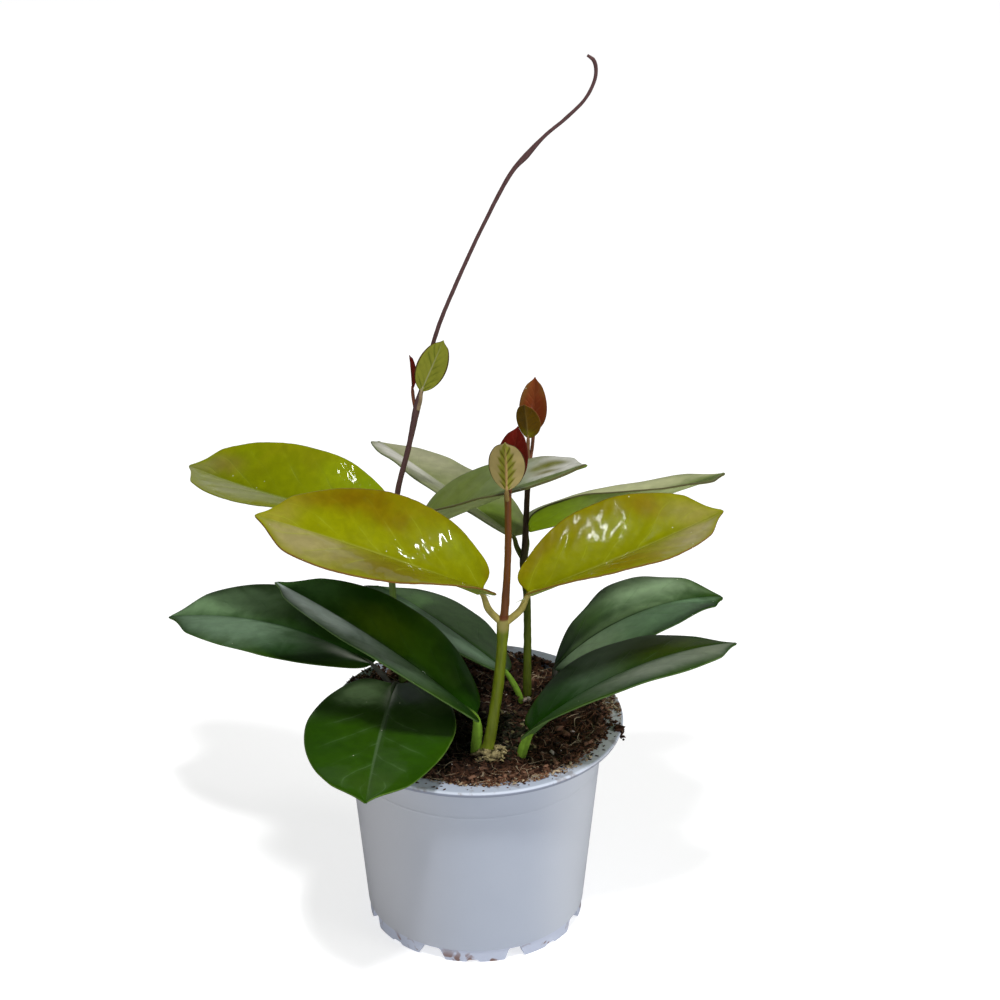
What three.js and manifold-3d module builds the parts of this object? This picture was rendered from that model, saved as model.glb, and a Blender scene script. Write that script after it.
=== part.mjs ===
// A hoya in a 12 cm nursery pot: three rooted cuttings, each with two pairs of grown leaves and a young pair.
// Millimetres and degrees, +Z up, front towards -Y. Places are measured from the pot's axis at the ground.
// An azimuth turns from +X towards +Y. A rise is the angle above the horizontal.
import * as THREE from "three";
import { mergeVertices } from "three/addons/utils/BufferGeometryUtils.js";
import Module from "manifold-3d";

const wasm = await Module();
wasm.setup();

// Driving dimensions
const potHeight = 90;
const flangeRadius = 60;
const flangeThickness = 1.5;
const lipDrop = 0.8;
const mouthRadius = 51.3;
const wallTopRadius = 52.5;
const wallFootRadius = 44.7;
const wall = 1.2;
const ridgeHeight = 72.7;
const ridgeHalfWidth = 1.2;
const ridgeOut = 0.6;
const footHeight = 6;
const footWidth = 3.2;
const footInset = 0.6;
const footCount = 8;
const firstGap = -113.5;
const gapWidths = [13, 9.5];
const gapHeight = 5.2;
const notchWidth = 6.5;
const notchHeight = 1.2;
const drainRadius = 3.5;
const drainReach = 32;
const potSides = 48;
const clearance = 0.3;
const soilLevel = 89.4;
const rootDepth = 11;
const bladeMiddle = 1.7;
const bladeEdge = 0.9;
const bladeArch = 0.1;
const leastHalfWidth = 0.6;
const midribShare = 0.09;
const midribRadius = 0.45;
const elbowOut = 0.65;
const elbowUp = 0.45;
const lobeReach = 0.03;
const leastLobePart = 0.002;
const tipStart = 0.86;
const tipSlim = 0.6;
const grownDetail = { rows: 12, columns: 6, petioleSides: 7 };
const youngDetail = { rows: 8, columns: 4, petioleSides: 6 };

// Stems: the points of the middle line, with the radius there
const stems = [
  {
    name: "stem_front",
    sides: 10,
    steps: 22,
    line: [
      { at: [3.5, -30.8, soilLevel - rootDepth], radius: 2.6 },
      { at: [4.9, -30.6, 90], radius: 3.4 },
      { at: [5.8, -30.4, 95.5], radius: 2.3 },
      { at: [6.9, -30, 102], radius: 2.25 },
      { at: [9.1, -29, 118], radius: 2.15 },
      { at: [10.9, -28.2, 138], radius: 2.1 },
      { at: [11.3, -28, 147.5], radius: 2.5 },
      { at: [11.8, -28, 152], radius: 1.6 },
      { at: [13.1, -28, 177], radius: 1.35 },
      { at: [13.1, -28, 196], radius: 1.3 },
      { at: [13, -28, 203], radius: 1.45 },
    ],
  },
  {
    name: "stem_back",
    sides: 10,
    steps: 22,
    line: [
      { at: [21.5, 13.5, soilLevel - rootDepth], radius: 1.7 },
      { at: [21.2, 16, 91], radius: 1.8 },
      { at: [21.3, 21, 109], radius: 1.6 },
      { at: [21, 24, 131.5], radius: 1.5 },
      { at: [19.7, 25.5, 147.5], radius: 1.8 },
      { at: [20, 25.7, 151.5], radius: 1.3 },
      { at: [20.9, 26, 175], radius: 1.15 },
      { at: [21.4, 26, 191.5], radius: 1.25 },
    ],
  },
  {
    name: "stem_vine",
    sides: 7,
    steps: 56,
    line: [
      { at: [-29, 25, soilLevel - rootDepth], radius: 1.5 },
      { at: [-30, 25, 91], radius: 1.6 },
      { at: [-33.3, 22.5, 132], radius: 1.4 },
      { at: [-33.4, 22, 156], radius: 1.7 },
      { at: [-32.4, 22, 162], radius: 1.2 },
      { at: [-30.6, 22, 180], radius: 1.15 },
      { at: [-25.8, 22, 200], radius: 1.1 },
      { at: [-22.6, 22, 216], radius: 1.5 },
      { at: [-20.4, 22, 225], radius: 0.95 },
      { at: [-14.6, 22, 248], radius: 0.85 },
      { at: [-8.8, 22, 263.5], radius: 0.8 },
      { at: [3.8, 22, 292.5], radius: 0.75 },
      { at: [14.8, 22, 314], radius: 0.85 },
      { at: [19.9, 22, 320], radius: 1.15 },
      { at: [27, 22, 328], radius: 0.7 },
      { at: [35, 22, 335], radius: 0.7 },
      { at: [42.3, 22, 343], radius: 0.65 },
      { at: [45.6, 22, 351.5], radius: 0.7 },
      { at: [44.8, 22, 357], radius: 0.8 },
      { at: [42.4, 22, 359], radius: 0.55 },
    ],
  },
];

// Grown leaves. The petiole runs from its root to the blade's base. The midrib's course heads along its
// azimuth and rise, sinks by its droop and turns by its sweep on the way to the tip. The roll lifts the right
// edge, seen from the base, and the twist adds to it on the way. The fold lifts both halves from the midrib, and
// opens on the way. The lobe is how far the base reaches back past the petiole.
const grownLeaves = [
  {
    name: "leaf_front_upper_left",
    stem: "stem_front",
    colour: "lime",
    root: [11, -28, 147.5],
    base: [2.9, -28.1, 160.7],
    petiole: 1.4,
    course: { azimuth: 195, rise: 30, droop: 12.5, sweep: -17.5, roll: 8.7, twist: 8 },
    blade: { fold: 42, opening: 35, length: 94, width: 61, shoulder: 0.5, lobe: 4 },
  },
  {
    name: "leaf_front_upper_right",
    stem: "stem_front",
    colour: "lime",
    root: [12, -28, 147.5],
    base: [21.3, -27, 159.5],
    petiole: 1.4,
    course: { azimuth: 11.6, rise: 17, droop: 0, sweep: 11, roll: -6, twist: -13 },
    blade: { fold: 43.5, opening: 17.5, length: 83, width: 52, shoulder: 0.53, lobe: 4 },
  },
  {
    name: "leaf_front_lower_left",
    stem: "stem_front",
    colour: "dark",
    root: [0.4, -29.5, soilLevel],
    base: [0.5, -31.5, 107.5],
    petiole: 2.1,
    course: { azimuth: 175, rise: 45, droop: 36, sweep: -30, roll: -7 },
    blade: { fold: 21, length: 98, width: 57, shoulder: 0.46, lobe: 1.5 },
  },
  {
    name: "leaf_front_lower_right",
    stem: "stem_front",
    colour: "dark",
    root: [18.6, -30.5, soilLevel],
    base: [22.1, -31.8, 100.3],
    petiole: 2,
    course: { azimuth: 1.4, rise: 47, droop: 53.6, sweep: 19.8, roll: 11.4, twist: -2.2 },
    blade: { fold: 23, opening: 19.5, length: 92.2, width: 53.3, shoulder: 0.45, lobe: 3.5 },
  },
  {
    name: "leaf_back_upper_left",
    stem: "stem_back",
    colour: "pale",
    root: [19.6, 25.6, 148],
    base: [15.5, 31.5, 155],
    petiole: 1.2,
    course: { azimuth: 139, rise: 16, droop: 21, sweep: -21, roll: -21 },
    blade: { fold: 18, length: 93, width: 50, shoulder: 0.48, lobe: 2 },
  },
  {
    name: "leaf_back_upper_right",
    stem: "stem_back",
    colour: "green",
    root: [19.9, 25.4, 148],
    base: [21.3, 27.8, 160],
    petiole: 1.2,
    course: { azimuth: 13.5, rise: 7, droop: -1, sweep: 12, roll: 31, twist: -14 },
    blade: { fold: 29, opening: 18, length: 87, width: 55, shoulder: 0.39, lobe: 1.2 },
  },
  {
    name: "leaf_back_lower_left",
    stem: "stem_back",
    colour: "dark",
    root: [18.6, 12.8, soilLevel],
    base: [12.4, 16.1, 100.9],
    petiole: 1.3,
    course: { azimuth: 145.3, rise: 23, droop: 40, sweep: -31.5, roll: -25.4, twist: 10.6 },
    blade: { fold: 7, opening: -7, length: 88, width: 51, shoulder: 0.52, lobe: 0.7 },
  },
  {
    name: "leaf_back_lower_right",
    stem: "stem_back",
    colour: "dark",
    root: [35, 18, soilLevel],
    base: [32.6, 20.8, 99.5],
    petiole: 1.6,
    course: { azimuth: 6, rise: 49, droop: 60.5, sweep: 14, roll: 0.6, twist: 7.3 },
    blade: { fold: 8, opening: -7.5, length: 79, width: 56, shoulder: 0.72 },
  },
  {
    name: "leaf_vine_upper_left",
    stem: "stem_vine",
    colour: "lime",
    root: [-33.4, 22, 156],
    base: [-36.5, 22.3, 165.5],
    petiole: 1.2,
    course: { azimuth: 161.3, rise: 2.3, droop: 0.8, sweep: -21.5, roll: 6, twist: 18 },
    blade: { fold: 42, opening: 9, length: 95.3, width: 51.6, shoulder: 0.47, lobe: 2.7 },
  },
  {
    name: "leaf_vine_upper_right",
    stem: "stem_vine",
    colour: "green",
    root: [-33.2, 22, 156],
    base: [-22.2, 19.3, 164.6],
    petiole: 1.2,
    course: { azimuth: -24, rise: 33, droop: 5, sweep: -2, roll: 0.7 },
    blade: { fold: 35.5, opening: 27, length: 84, width: 49.5, shoulder: 0.4 },
  },
  {
    name: "leaf_vine_lower_left",
    stem: "stem_vine",
    colour: "dark",
    root: [-34, 20.5, soilLevel],
    base: [-42.5, 20.5, 102],
    petiole: 1.2,
    course: { azimuth: 144, rise: 12, droop: 22, sweep: 26, roll: 3 },
    blade: { fold: 12, length: 96, width: 56, shoulder: 0.66, lobe: 1 },
  },
  {
    name: "leaf_vine_lower_front",
    stem: "stem_vine",
    colour: "dark",
    root: [-27, 6, soilLevel],
    base: [-32.2, -4, 106.5],
    petiole: 1.8,
    course: { azimuth: 261, rise: -9, droop: -17, sweep: 8, roll: -0.6 },
    blade: { fold: 11, length: 88.2, width: 60, shoulder: 0.44, lobe: 3 },
  },
];

// Young leaves, one close pair at the end of each cutting and at the vine's first bare node
const youngLeaves = [
  {
    name: "leaf_front_young_near",
    stem: "stem_front",
    colour: "bronze",
    root: [12.8, -28.8, 201],
    base: [12.6, -31, 206],
    petiole: 0.9,
    course: { azimuth: 262, rise: 84, droop: 12, sweep: 0, roll: 0 },
    blade: { fold: 24, length: 22.5, width: 15.5, shoulder: 0.55 },
  },
  {
    name: "leaf_front_young_far",
    stem: "stem_front",
    colour: "red",
    root: [13.2, -27.2, 201],
    base: [14, -25.8, 206],
    petiole: 0.9,
    course: { azimuth: 50, rise: 80, droop: 2, sweep: 0, roll: -25 },
    blade: { fold: 28, length: 23, width: 14, shoulder: 0.55 },
  },
  {
    name: "leaf_back_young_near",
    stem: "stem_back",
    colour: "bronze",
    root: [21.1, 25.3, 190.5],
    base: [21.2, 23.2, 202.6],
    petiole: 0.75,
    course: { azimuth: 245, rise: 82, droop: 10, sweep: 0, roll: 0 },
    blade: { fold: 22, length: 16.5, width: 11.5, shoulder: 0.55 },
  },
  {
    name: "leaf_back_young_far",
    stem: "stem_back",
    colour: "red",
    root: [21.9, 26.9, 190.5],
    base: [23.4, 29, 203.6],
    petiole: 0.75,
    course: { azimuth: 78, rise: 86, droop: 4, sweep: 0, roll: 0 },
    blade: { fold: 26, length: 22, width: 12.5, shoulder: 0.55 },
  },
  {
    name: "leaf_vine_young_green",
    stem: "stem_vine",
    colour: "green",
    root: [-22, 21.2, 216],
    base: [-20.6, 19.6, 224.5],
    petiole: 0.8,
    course: { azimuth: -32, rise: 66, droop: 0, sweep: 0, roll: 65 },
    blade: { fold: 18, length: 26, width: 12.5, shoulder: 0.55 },
  },
  {
    name: "leaf_vine_young_purple",
    stem: "stem_vine",
    colour: "red",
    root: [-23.2, 22.6, 216],
    base: [-24.2, 23.6, 223.5],
    petiole: 0.7,
    course: { azimuth: 170, rise: 88, droop: 4, sweep: 0, roll: 0 },
    blade: { fold: 24, length: 14.5, width: 7.5, shoulder: 0.55 },
  },
];

// Materials
function paint(colour, roughness) {
  return new THREE.MeshStandardMaterial({ color: colour, roughness, metalness: 0 });
}

const leafPaint = {
  lime: () => paint(0x8c9a1c, 0.3),
  dark: () => paint(0x2c4d1c, 0.38),
  green: () => paint(0x5c7c2c, 0.35),
  pale: () => paint(0x7c8c6c, 0.45),
  bronze: () => paint(0x6c5c2c, 0.4),
  red: () => paint(0x6c1c14, 0.3),
};

// Solids and meshes
function solid(geometry) {
  const bare = geometry.index ? geometry.toNonIndexed() : geometry.clone();
  bare.deleteAttribute("normal");
  bare.deleteAttribute("uv");
  const merged = mergeVertices(bare, 1e-3);
  return new wasm.Manifold(
    new wasm.Mesh({
      numProp: 3,
      vertProperties: merged.attributes.position.array,
      triVerts: new Uint32Array(merged.index.array),
    }),
  );
}

function mesh(name, body, material) {
  const data = body.getMesh();
  const geometry = new THREE.BufferGeometry();
  geometry.setAttribute("position", new THREE.BufferAttribute(data.vertProperties, 3));
  geometry.setIndex(new THREE.BufferAttribute(data.triVerts, 1));
  geometry.computeVertexNormals();
  const made = new THREE.Mesh(geometry, material);
  made.name = name;
  return made;
}

// A repeatable draw between 0 and 1
function seededRandom(seed) {
  let state = seed;
  return () => {
    state = (state * 16807) % 2147483647;
    return state / 2147483647;
  };
}

// A closed shell from rings of points: each ring is joined to the next, and fans close the two ends
function closedRings(rings) {
  const sides = rings[0].length;
  const points = rings.flat();
  const faces = [];
  for (let i = 0; i + 1 < rings.length; i++) {
    for (let k = 0; k < sides; k++) {
      const a = i * sides + k;
      const b = i * sides + ((k + 1) % sides);
      faces.push(a, b, b + sides, a, b + sides, a + sides);
    }
  }
  const last = (rings.length - 1) * sides;
  for (let k = 1; k + 1 < sides; k++) {
    faces.push(0, k + 1, k);
    faces.push(last, last + k, last + k + 1);
  }
  const geometry = new THREE.BufferGeometry().setFromPoints(points);
  geometry.setIndex(faces);
  return geometry;
}

// A round tube along a curve, with the radius given at each part of its length
function taperedTube(curve, radiusAt, sides, steps) {
  const frames = curve.computeFrenetFrames(steps, false);
  const rings = [];
  for (let i = 0; i <= steps; i++) {
    const part = i / steps;
    const centre = curve.getPointAt(part);
    const ring = [];
    for (let k = 0; k < sides; k++) {
      const turn = (2 * Math.PI * k) / sides;
      const out = frames.normals[i].clone().multiplyScalar(Math.cos(turn));
      out.addScaledVector(frames.binormals[i], Math.sin(turn));
      ring.push(centre.clone().addScaledVector(out, radiusAt(part)));
    }
    rings.push(ring);
  }
  return closedRings(rings);
}

// Stems
function stemTube(stem, extra) {
  const points = stem.line.map((knot) => new THREE.Vector3(...knot.at));
  const curve = new THREE.CatmullRomCurve3(points, false, "centripetal");
  const reach = [0];
  points.slice(1).forEach((point, i) => reach.push(reach[i] + point.distanceTo(points[i])));
  const radiusAt = (part) => {
    const along = part * reach[reach.length - 1];
    const next = Math.max(1, reach.findIndex((value) => value >= along - 1e-6));
    const share = (along - reach[next - 1]) / (reach[next] - reach[next - 1]);
    const soft = THREE.MathUtils.smoothstep(share, 0, 1);
    return THREE.MathUtils.lerp(stem.line[next - 1].radius, stem.line[next].radius, soft) + extra;
  };
  return solid(taperedTube(curve, radiusAt, stem.sides, stem.steps));
}

// Leaves
function heading(azimuth, rise) {
  const turn = THREE.MathUtils.degToRad(azimuth);
  const lift = THREE.MathUtils.degToRad(rise);
  return new THREE.Vector3(
    Math.cos(turn) * Math.cos(lift),
    Math.sin(turn) * Math.cos(lift),
    Math.sin(lift),
  );
}

// The blade's width at a part of its length, as a share of the widest: round at the base, pointed at the tip
const tipPoint = 0.7;

function outline(part, shoulder) {
  const widest = shoulder / (shoulder + tipPoint);
  const peak = widest ** shoulder * (1 - widest) ** tipPoint;
  const slim = 1 - tipSlim * THREE.MathUtils.smoothstep(part, tipStart, 1);
  return (slim * part ** shoulder * (1 - part) ** tipPoint) / peak;
}

// The midrib's places, and the directions across and up from the blade there
function bladeRows(leaf, rowCount) {
  const { azimuth, rise, droop, sweep, roll, twist = 0 } = leaf.course;
  const directionAt = (part) => heading(azimuth + sweep * part, rise - droop * part);
  const fineSteps = 120;
  const rows = [];
  const place = new THREE.Vector3(...leaf.base);
  let done = 0;
  for (let i = 0; i <= rowCount; i++) {
    const part = 0.5 - 0.5 * Math.cos((Math.PI * i) / rowCount);
    const target = Math.round(part * fineSteps);
    while (done < target) {
      place.addScaledVector(directionAt((done + 0.5) / fineSteps), leaf.blade.length / fineSteps);
      done += 1;
    }
    const along = directionAt(part);
    const level = new THREE.Vector3().crossVectors(along, new THREE.Vector3(0, 0, 1)).normalize();
    const up = new THREE.Vector3().crossVectors(level, along);
    const rolled = THREE.MathUtils.degToRad(roll + twist * part);
    const across = level.clone().multiplyScalar(Math.cos(rolled)).addScaledVector(up, Math.sin(rolled));
    up.multiplyScalar(Math.cos(rolled)).addScaledVector(level, -Math.sin(rolled));
    rows.push({ part: done / fineSteps, place: place.clone(), along, across, up });
  }
  return rows;
}

function bladeGeometry(leaf, rowCount, columnCount) {
  const rows = bladeRows(leaf, rowCount);
  const { opening = 0, lobe = 0 } = leaf.blade;
  const rings = rows.map((row) => {
    const fold = THREE.MathUtils.degToRad(leaf.blade.fold - opening * row.part);
    const half = Math.max(leastHalfWidth, (leaf.blade.width / 2) * outline(row.part, leaf.blade.shoulder));
    const lobePart = Math.max(row.part, leastLobePart) / lobeReach;
    const back = lobe * lobePart * Math.exp(1 - lobePart);
    const top = [];
    const bottom = [];
    for (let j = 0; j <= columnCount; j++) {
      const side = (2 * j) / columnCount - 1;
      const out = Math.abs(side);
      const lift = half * out * (Math.sin(fold) - bladeArch * out);
      const middle = row.place.clone().addScaledVector(row.across, half * side * Math.cos(fold));
      middle.addScaledVector(row.up, lift).addScaledVector(row.along, -back * out ** 1.5);
      const thickness = THREE.MathUtils.lerp(bladeMiddle, bladeEdge, Math.sqrt(out));
      top.push(middle.clone().addScaledVector(row.up, thickness / 2));
      bottom.push(middle.addScaledVector(row.up, -thickness / 2));
    }
    return { top, bottom };
  });
  return bladeShell(rings, columnCount);
}

// Top and bottom faces split alike, joined by a rim all round
function bladeShell(rings, columnCount) {
  const wide = columnCount + 1;
  const points = rings.flatMap((ring) => [...ring.top, ...ring.bottom]);
  const top = (i, j) => i * 2 * wide + j;
  const bottom = (i, j) => top(i, j) + wide;
  const faces = [];
  for (let i = 0; i + 1 < rings.length; i++) {
    for (let j = 0; j < columnCount; j++) {
      const corners = [[i, j], [i, j + 1], [i + 1, j + 1], [i + 1, j]];
      const split = j < columnCount / 2 ? [0, 1, 2, 0, 2, 3] : [0, 1, 3, 1, 2, 3];
      const upper = split.map((corner) => top(...corners[corner]));
      const lower = split.map((corner) => bottom(...corners[corner]));
      faces.push(...upper);
      faces.push(...lower.reverse());
    }
    for (const j of [0, columnCount]) {
      const rim = [top(i, j), top(i + 1, j), bottom(i + 1, j), top(i, j), bottom(i + 1, j), bottom(i, j)];
      faces.push(...(j ? rim.reverse() : rim));
    }
  }
  for (const i of [0, rings.length - 1]) {
    for (let j = 0; j < columnCount; j++) {
      const rim = [top(i, j), bottom(i, j), bottom(i, j + 1), top(i, j), bottom(i, j + 1), top(i, j + 1)];
      faces.push(...(i ? rim.reverse() : rim));
    }
  }
  const geometry = new THREE.BufferGeometry().setFromPoints(points);
  geometry.setIndex(faces);
  return geometry;
}

// The petiole, which runs on as the midrib under the blade's first part. From a stem it bends up at an elbow,
// and from the ground it comes straight up.
function petioleTube(leaf, extra, sides) {
  const root = new THREE.Vector3(...leaf.root);
  const base = new THREE.Vector3(...leaf.base);
  const intoBlade = leaf.blade.length * midribShare;
  const end = base.clone().addScaledVector(heading(leaf.course.azimuth, leaf.course.rise), intoBlade);
  const points = [root, base, end];
  if (isGroundLeaf(leaf)) {
    points.unshift(root.clone().setZ(root.z - rootDepth));
  } else {
    const elbow = root.clone().lerp(base, elbowOut);
    points.splice(1, 0, elbow.setZ(THREE.MathUtils.lerp(root.z, base.z, elbowUp)));
  }
  const curve = new THREE.CatmullRomCurve3(points, false, "centripetal");
  const total = curve.getLength();
  const radiusAt = (part) => {
    const thin = THREE.MathUtils.smoothstep(part * total, total - 2 * intoBlade, total);
    return THREE.MathUtils.lerp(leaf.petiole, midribRadius, thin) + extra;
  };
  const steps = 8;
  return solid(taperedTube(curve, radiusAt, sides, steps));
}

function isGroundLeaf(leaf) {
  return leaf.root[2] === soilLevel;
}

function leafBody(leaf, detail) {
  const blade = solid(bladeGeometry(leaf, detail.rows, detail.columns));
  const carrier = stems.find((stem) => stem.name === leaf.stem);
  return blade.add(petioleTube(leaf, 0, detail.petioleSides)).subtract(stemTube(carrier, clearance));
}

// Pot: one turned profile with eight feet and their drain gaps
function potProfile() {
  const slope = (wallTopRadius - wallFootRadius) / (potHeight - footHeight);
  const outer = (height) => wallFootRadius + slope * (height - footHeight);
  const profile = new THREE.Path();
  const under = potHeight - flangeThickness;
  const footOuter = wallFootRadius - footInset;
  const footInner = footOuter - footWidth;
  const ridgeFoot = ridgeHeight - ridgeHalfWidth;
  const ridgeTop = ridgeHeight + ridgeHalfWidth;
  const mouthRound = 1.3;
  profile.moveTo(0, footHeight);
  profile.lineTo(footInner - 0.3, footHeight);
  profile.lineTo(footInner, 0);
  profile.lineTo(footOuter, 0);
  profile.lineTo(footOuter + 0.1, footHeight - 0.6);
  profile.lineTo(wallFootRadius - 0.1, footHeight - 0.1);
  profile.lineTo(outer(footHeight + 0.7), footHeight + 0.7);
  profile.lineTo(outer(ridgeFoot), ridgeFoot);
  profile.quadraticCurveTo(outer(ridgeHeight) + ridgeOut, ridgeHeight, outer(ridgeTop), ridgeTop);
  profile.lineTo(outer(under - 1), under - 1);
  profile.quadraticCurveTo(outer(under), under, outer(under) + 1, under);
  profile.lineTo(flangeRadius - 1.4, under);
  profile.lineTo(flangeRadius - 1, under - lipDrop);
  profile.lineTo(flangeRadius - 0.3, under - lipDrop);
  profile.quadraticCurveTo(flangeRadius + 0.35, potHeight - 0.3, flangeRadius - 1, potHeight);
  profile.lineTo(mouthRadius + mouthRound, potHeight);
  profile.quadraticCurveTo(mouthRadius, potHeight, mouthRadius, potHeight - mouthRound);
  profile.lineTo(wallFootRadius - wall + 0.2, footHeight + wall + 1);
  profile.lineTo(wallFootRadius - wall - 1, footHeight + wall);
  profile.lineTo(0, footHeight + wall);
  return profile.getPoints(3);
}

// A block with sloped sides that points outwards from the axis, for a gap between two feet
function footGap(azimuth, width, height) {
  const arch = new THREE.Shape();
  arch.moveTo(-width / 2, -1);
  arch.lineTo(width / 2, -1);
  arch.lineTo(width / 2, 0);
  arch.quadraticCurveTo(width * 0.4, height, width * 0.25, height);
  arch.lineTo(-width * 0.25, height);
  arch.quadraticCurveTo(-width * 0.4, height, -width / 2, 0);
  const depth = 12;
  const block = new THREE.ExtrudeGeometry(arch, { depth, bevelEnabled: false, curveSegments: 3 });
  block.rotateX(Math.PI / 2);
  block.translate(0, wallFootRadius + 3, 0);
  block.rotateZ(THREE.MathUtils.degToRad(azimuth - 90));
  return solid(block);
}

function drainHole(azimuth) {
  const throughFloor = 8;
  const hole = new THREE.CylinderGeometry(drainRadius, drainRadius, throughFloor, 10);
  hole.rotateX(Math.PI / 2);
  hole.translate(drainReach, 0, footHeight);
  hole.rotateZ(THREE.MathUtils.degToRad(azimuth));
  return solid(hole);
}

function potBody() {
  const turned = new THREE.LatheGeometry(potProfile(), potSides);
  turned.rotateX(Math.PI / 2);
  let body = solid(turned);
  for (let k = 0; k < footCount; k++) {
    const azimuth = firstGap + (360 / footCount) * k;
    body = body.subtract(footGap(azimuth, gapWidths[k % 2], gapHeight));
    body = body.subtract(footGap(azimuth + 180 / footCount, notchWidth, notchHeight));
    body = body.subtract(drainHole(azimuth));
  }
  return body;
}

// Soil: a plug that fills the pot, lumpy on top, with a plain hole for each stem and petiole from the ground
function soilRelief(x, y) {
  const waves = 0.5 * Math.sin(x / 6.1 + 1.2) * Math.cos(y / 5.3) + 0.4 * Math.sin((x + y) / 3.9);
  const heap = (atX, atY, wide, high) => high * Math.exp(-((x - atX) ** 2 + (y - atY) ** 2) / wide ** 2);
  const frontMounds = heap(12, -18, 11, 2.2) + heap(5, -30, 6, 1.4);
  const backMounds = heap(40, 5, 14, 1.8) + heap(-30, 20, 12, 1.2);
  return waves + frontMounds + backMounds;
}

function soilBody() {
  const soilRings = 12;
  const soilSides = 40;
  const crumbHeight = 1.4;
  const holeSides = 8;
  const sideDrop = 2.4;
  const shoulderDrop = 0.8;
  const wallGap = 2 * clearance;
  const cornerRound = 1.3;
  const random = seededRandom(41);
  const topRadius = mouthRadius - wallGap;
  const bottomRadius = wallFootRadius - wall - wallGap - cornerRound;
  const bottom = footHeight + wall + clearance;
  const rings = [];
  const ringAt = (radius, heightAt) => {
    const ring = [];
    for (let k = 0; k < soilSides; k++) {
      const turn = (2 * Math.PI * k) / soilSides;
      const x = radius * Math.cos(turn);
      const y = radius * Math.sin(turn);
      ring.push(new THREE.Vector3(x, y, heightAt(x, y)));
    }
    return ring;
  };
  rings.push(ringAt(bottomRadius, () => bottom));
  rings.push(ringAt(topRadius, () => potHeight - sideDrop));
  for (let i = 0; i < soilRings; i++) {
    const radius = (topRadius - 0.4) * (1 - i / soilRings) + 0.8;
    const level = i === 0 ? soilLevel - shoulderDrop : soilLevel;
    rings.push(ringAt(radius, (x, y) => level + soilRelief(x, y) + crumbHeight * (random() - 0.5)));
  }
  let body = solid(closedRings(rings));
  for (const stem of stems) {
    body = body.subtract(stemTube(stem, clearance));
  }
  for (const leaf of grownLeaves.filter(isGroundLeaf)) {
    body = body.subtract(petioleTube(leaf, clearance, holeSides));
  }
  return body;
}

// The whole plant
const plant = new THREE.Group();
plant.add(mesh("pot", potBody(), paint(0xb4bcd0, 0.5)));
plant.add(mesh("soil", soilBody(), paint(0x3a2418, 0.95)));
for (const stem of stems) {
  plant.add(mesh(stem.name, stemTube(stem, 0), paint(0x5c6c28, 0.5)));
}
for (const leaf of grownLeaves) {
  plant.add(mesh(leaf.name, leafBody(leaf, grownDetail), leafPaint[leaf.colour]()));
}
for (const leaf of youngLeaves) {
  plant.add(mesh(leaf.name, leafBody(leaf, youngDetail), leafPaint[leaf.colour]()));
}

// The origin is under the middle of the plant's whole spread, on the ground
const spread = new THREE.Box3().setFromObject(plant);
plant.position.x = -(spread.min.x + spread.max.x) / 2;
plant.position.y = -(spread.min.y + spread.max.y) / 2;

export default plant;
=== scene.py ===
import math
import random

import bpy
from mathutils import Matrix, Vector, noise


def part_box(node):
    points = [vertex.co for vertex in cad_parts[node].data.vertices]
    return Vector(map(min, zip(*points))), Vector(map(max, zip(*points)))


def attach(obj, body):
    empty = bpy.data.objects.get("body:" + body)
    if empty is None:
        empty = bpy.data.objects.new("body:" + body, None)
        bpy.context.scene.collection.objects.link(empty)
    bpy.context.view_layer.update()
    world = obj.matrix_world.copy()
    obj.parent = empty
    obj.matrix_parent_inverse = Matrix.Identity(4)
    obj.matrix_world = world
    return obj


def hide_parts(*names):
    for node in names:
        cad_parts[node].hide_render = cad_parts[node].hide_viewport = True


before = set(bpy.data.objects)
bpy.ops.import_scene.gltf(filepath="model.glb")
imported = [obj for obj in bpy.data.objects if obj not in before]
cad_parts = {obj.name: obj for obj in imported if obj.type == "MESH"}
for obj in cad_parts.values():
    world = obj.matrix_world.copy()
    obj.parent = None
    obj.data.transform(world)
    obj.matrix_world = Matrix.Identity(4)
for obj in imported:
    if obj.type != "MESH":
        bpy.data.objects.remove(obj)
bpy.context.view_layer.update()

# A young hoya in a nursery pot. Lengths are millimetres measured from the pot's axis at the ground, as in the
# solid model; put() turns them into metres in the row's frame. Angles are degrees. An azimuth turns from +X
# towards +Y, and a rise is the angle above the horizontal.
MM = 0.001
UP = Vector((0, 0, 1))
pot_low, pot_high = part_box("pot")
AXIS = Vector(((pot_low.x + pot_high.x) / 2, (pot_low.y + pot_high.y) / 2, 0))


def put(point):
    return AXIS + Vector(point) * MM


# Driving dimensions
POT_HEIGHT = 90
FLANGE_RADIUS = 60
FLANGE_THICKNESS = 1.5
MOUTH_RADIUS = 51.3
WALL_TOP_RADIUS = 52.5
WALL_FOOT_RADIUS = 44.7
WALL = 1.2
RIDGE_HEIGHT = 72.7
RIDGE_HALF_WIDTH = 0.9
RIDGE_OUT = 0.14
FOOT_HEIGHT = 6
FOOT_WIDTH = 3.2
FOOT_INSET = 0.6
FOOT_COUNT = 8
FIRST_GAP = -113.5
GAP_WIDTHS = (13, 9.5)
GAP_HEIGHT = 5.2
NOTCH_WIDTH = 6.5
NOTCH_HEIGHT = 1.2
DRAIN_RADIUS = 3.5
DRAIN_REACH = 32
DRAIN_SIDES = 28
SOIL_LEVEL = 89.4
ROOT_DEPTH = 11
BLADE_MIDDLE = 1.7
BLADE_EDGE = 0.9
BLADE_ARCH = 0.1
MIDRIB_SHARE = 0.09
MIDRIB_RADIUS = 0.45
ELBOW_OUT = 0.65
ELBOW_UP = 0.45
LOBE_REACH = 0.03
LEAST_LOBE_PART = 0.002
TIP_START = 0.86
TIP_SLIM = 0.6
TIP_POINT = 0.7
MARGIN_ROUND = 0.035
END_ROUND = 0.012
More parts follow.
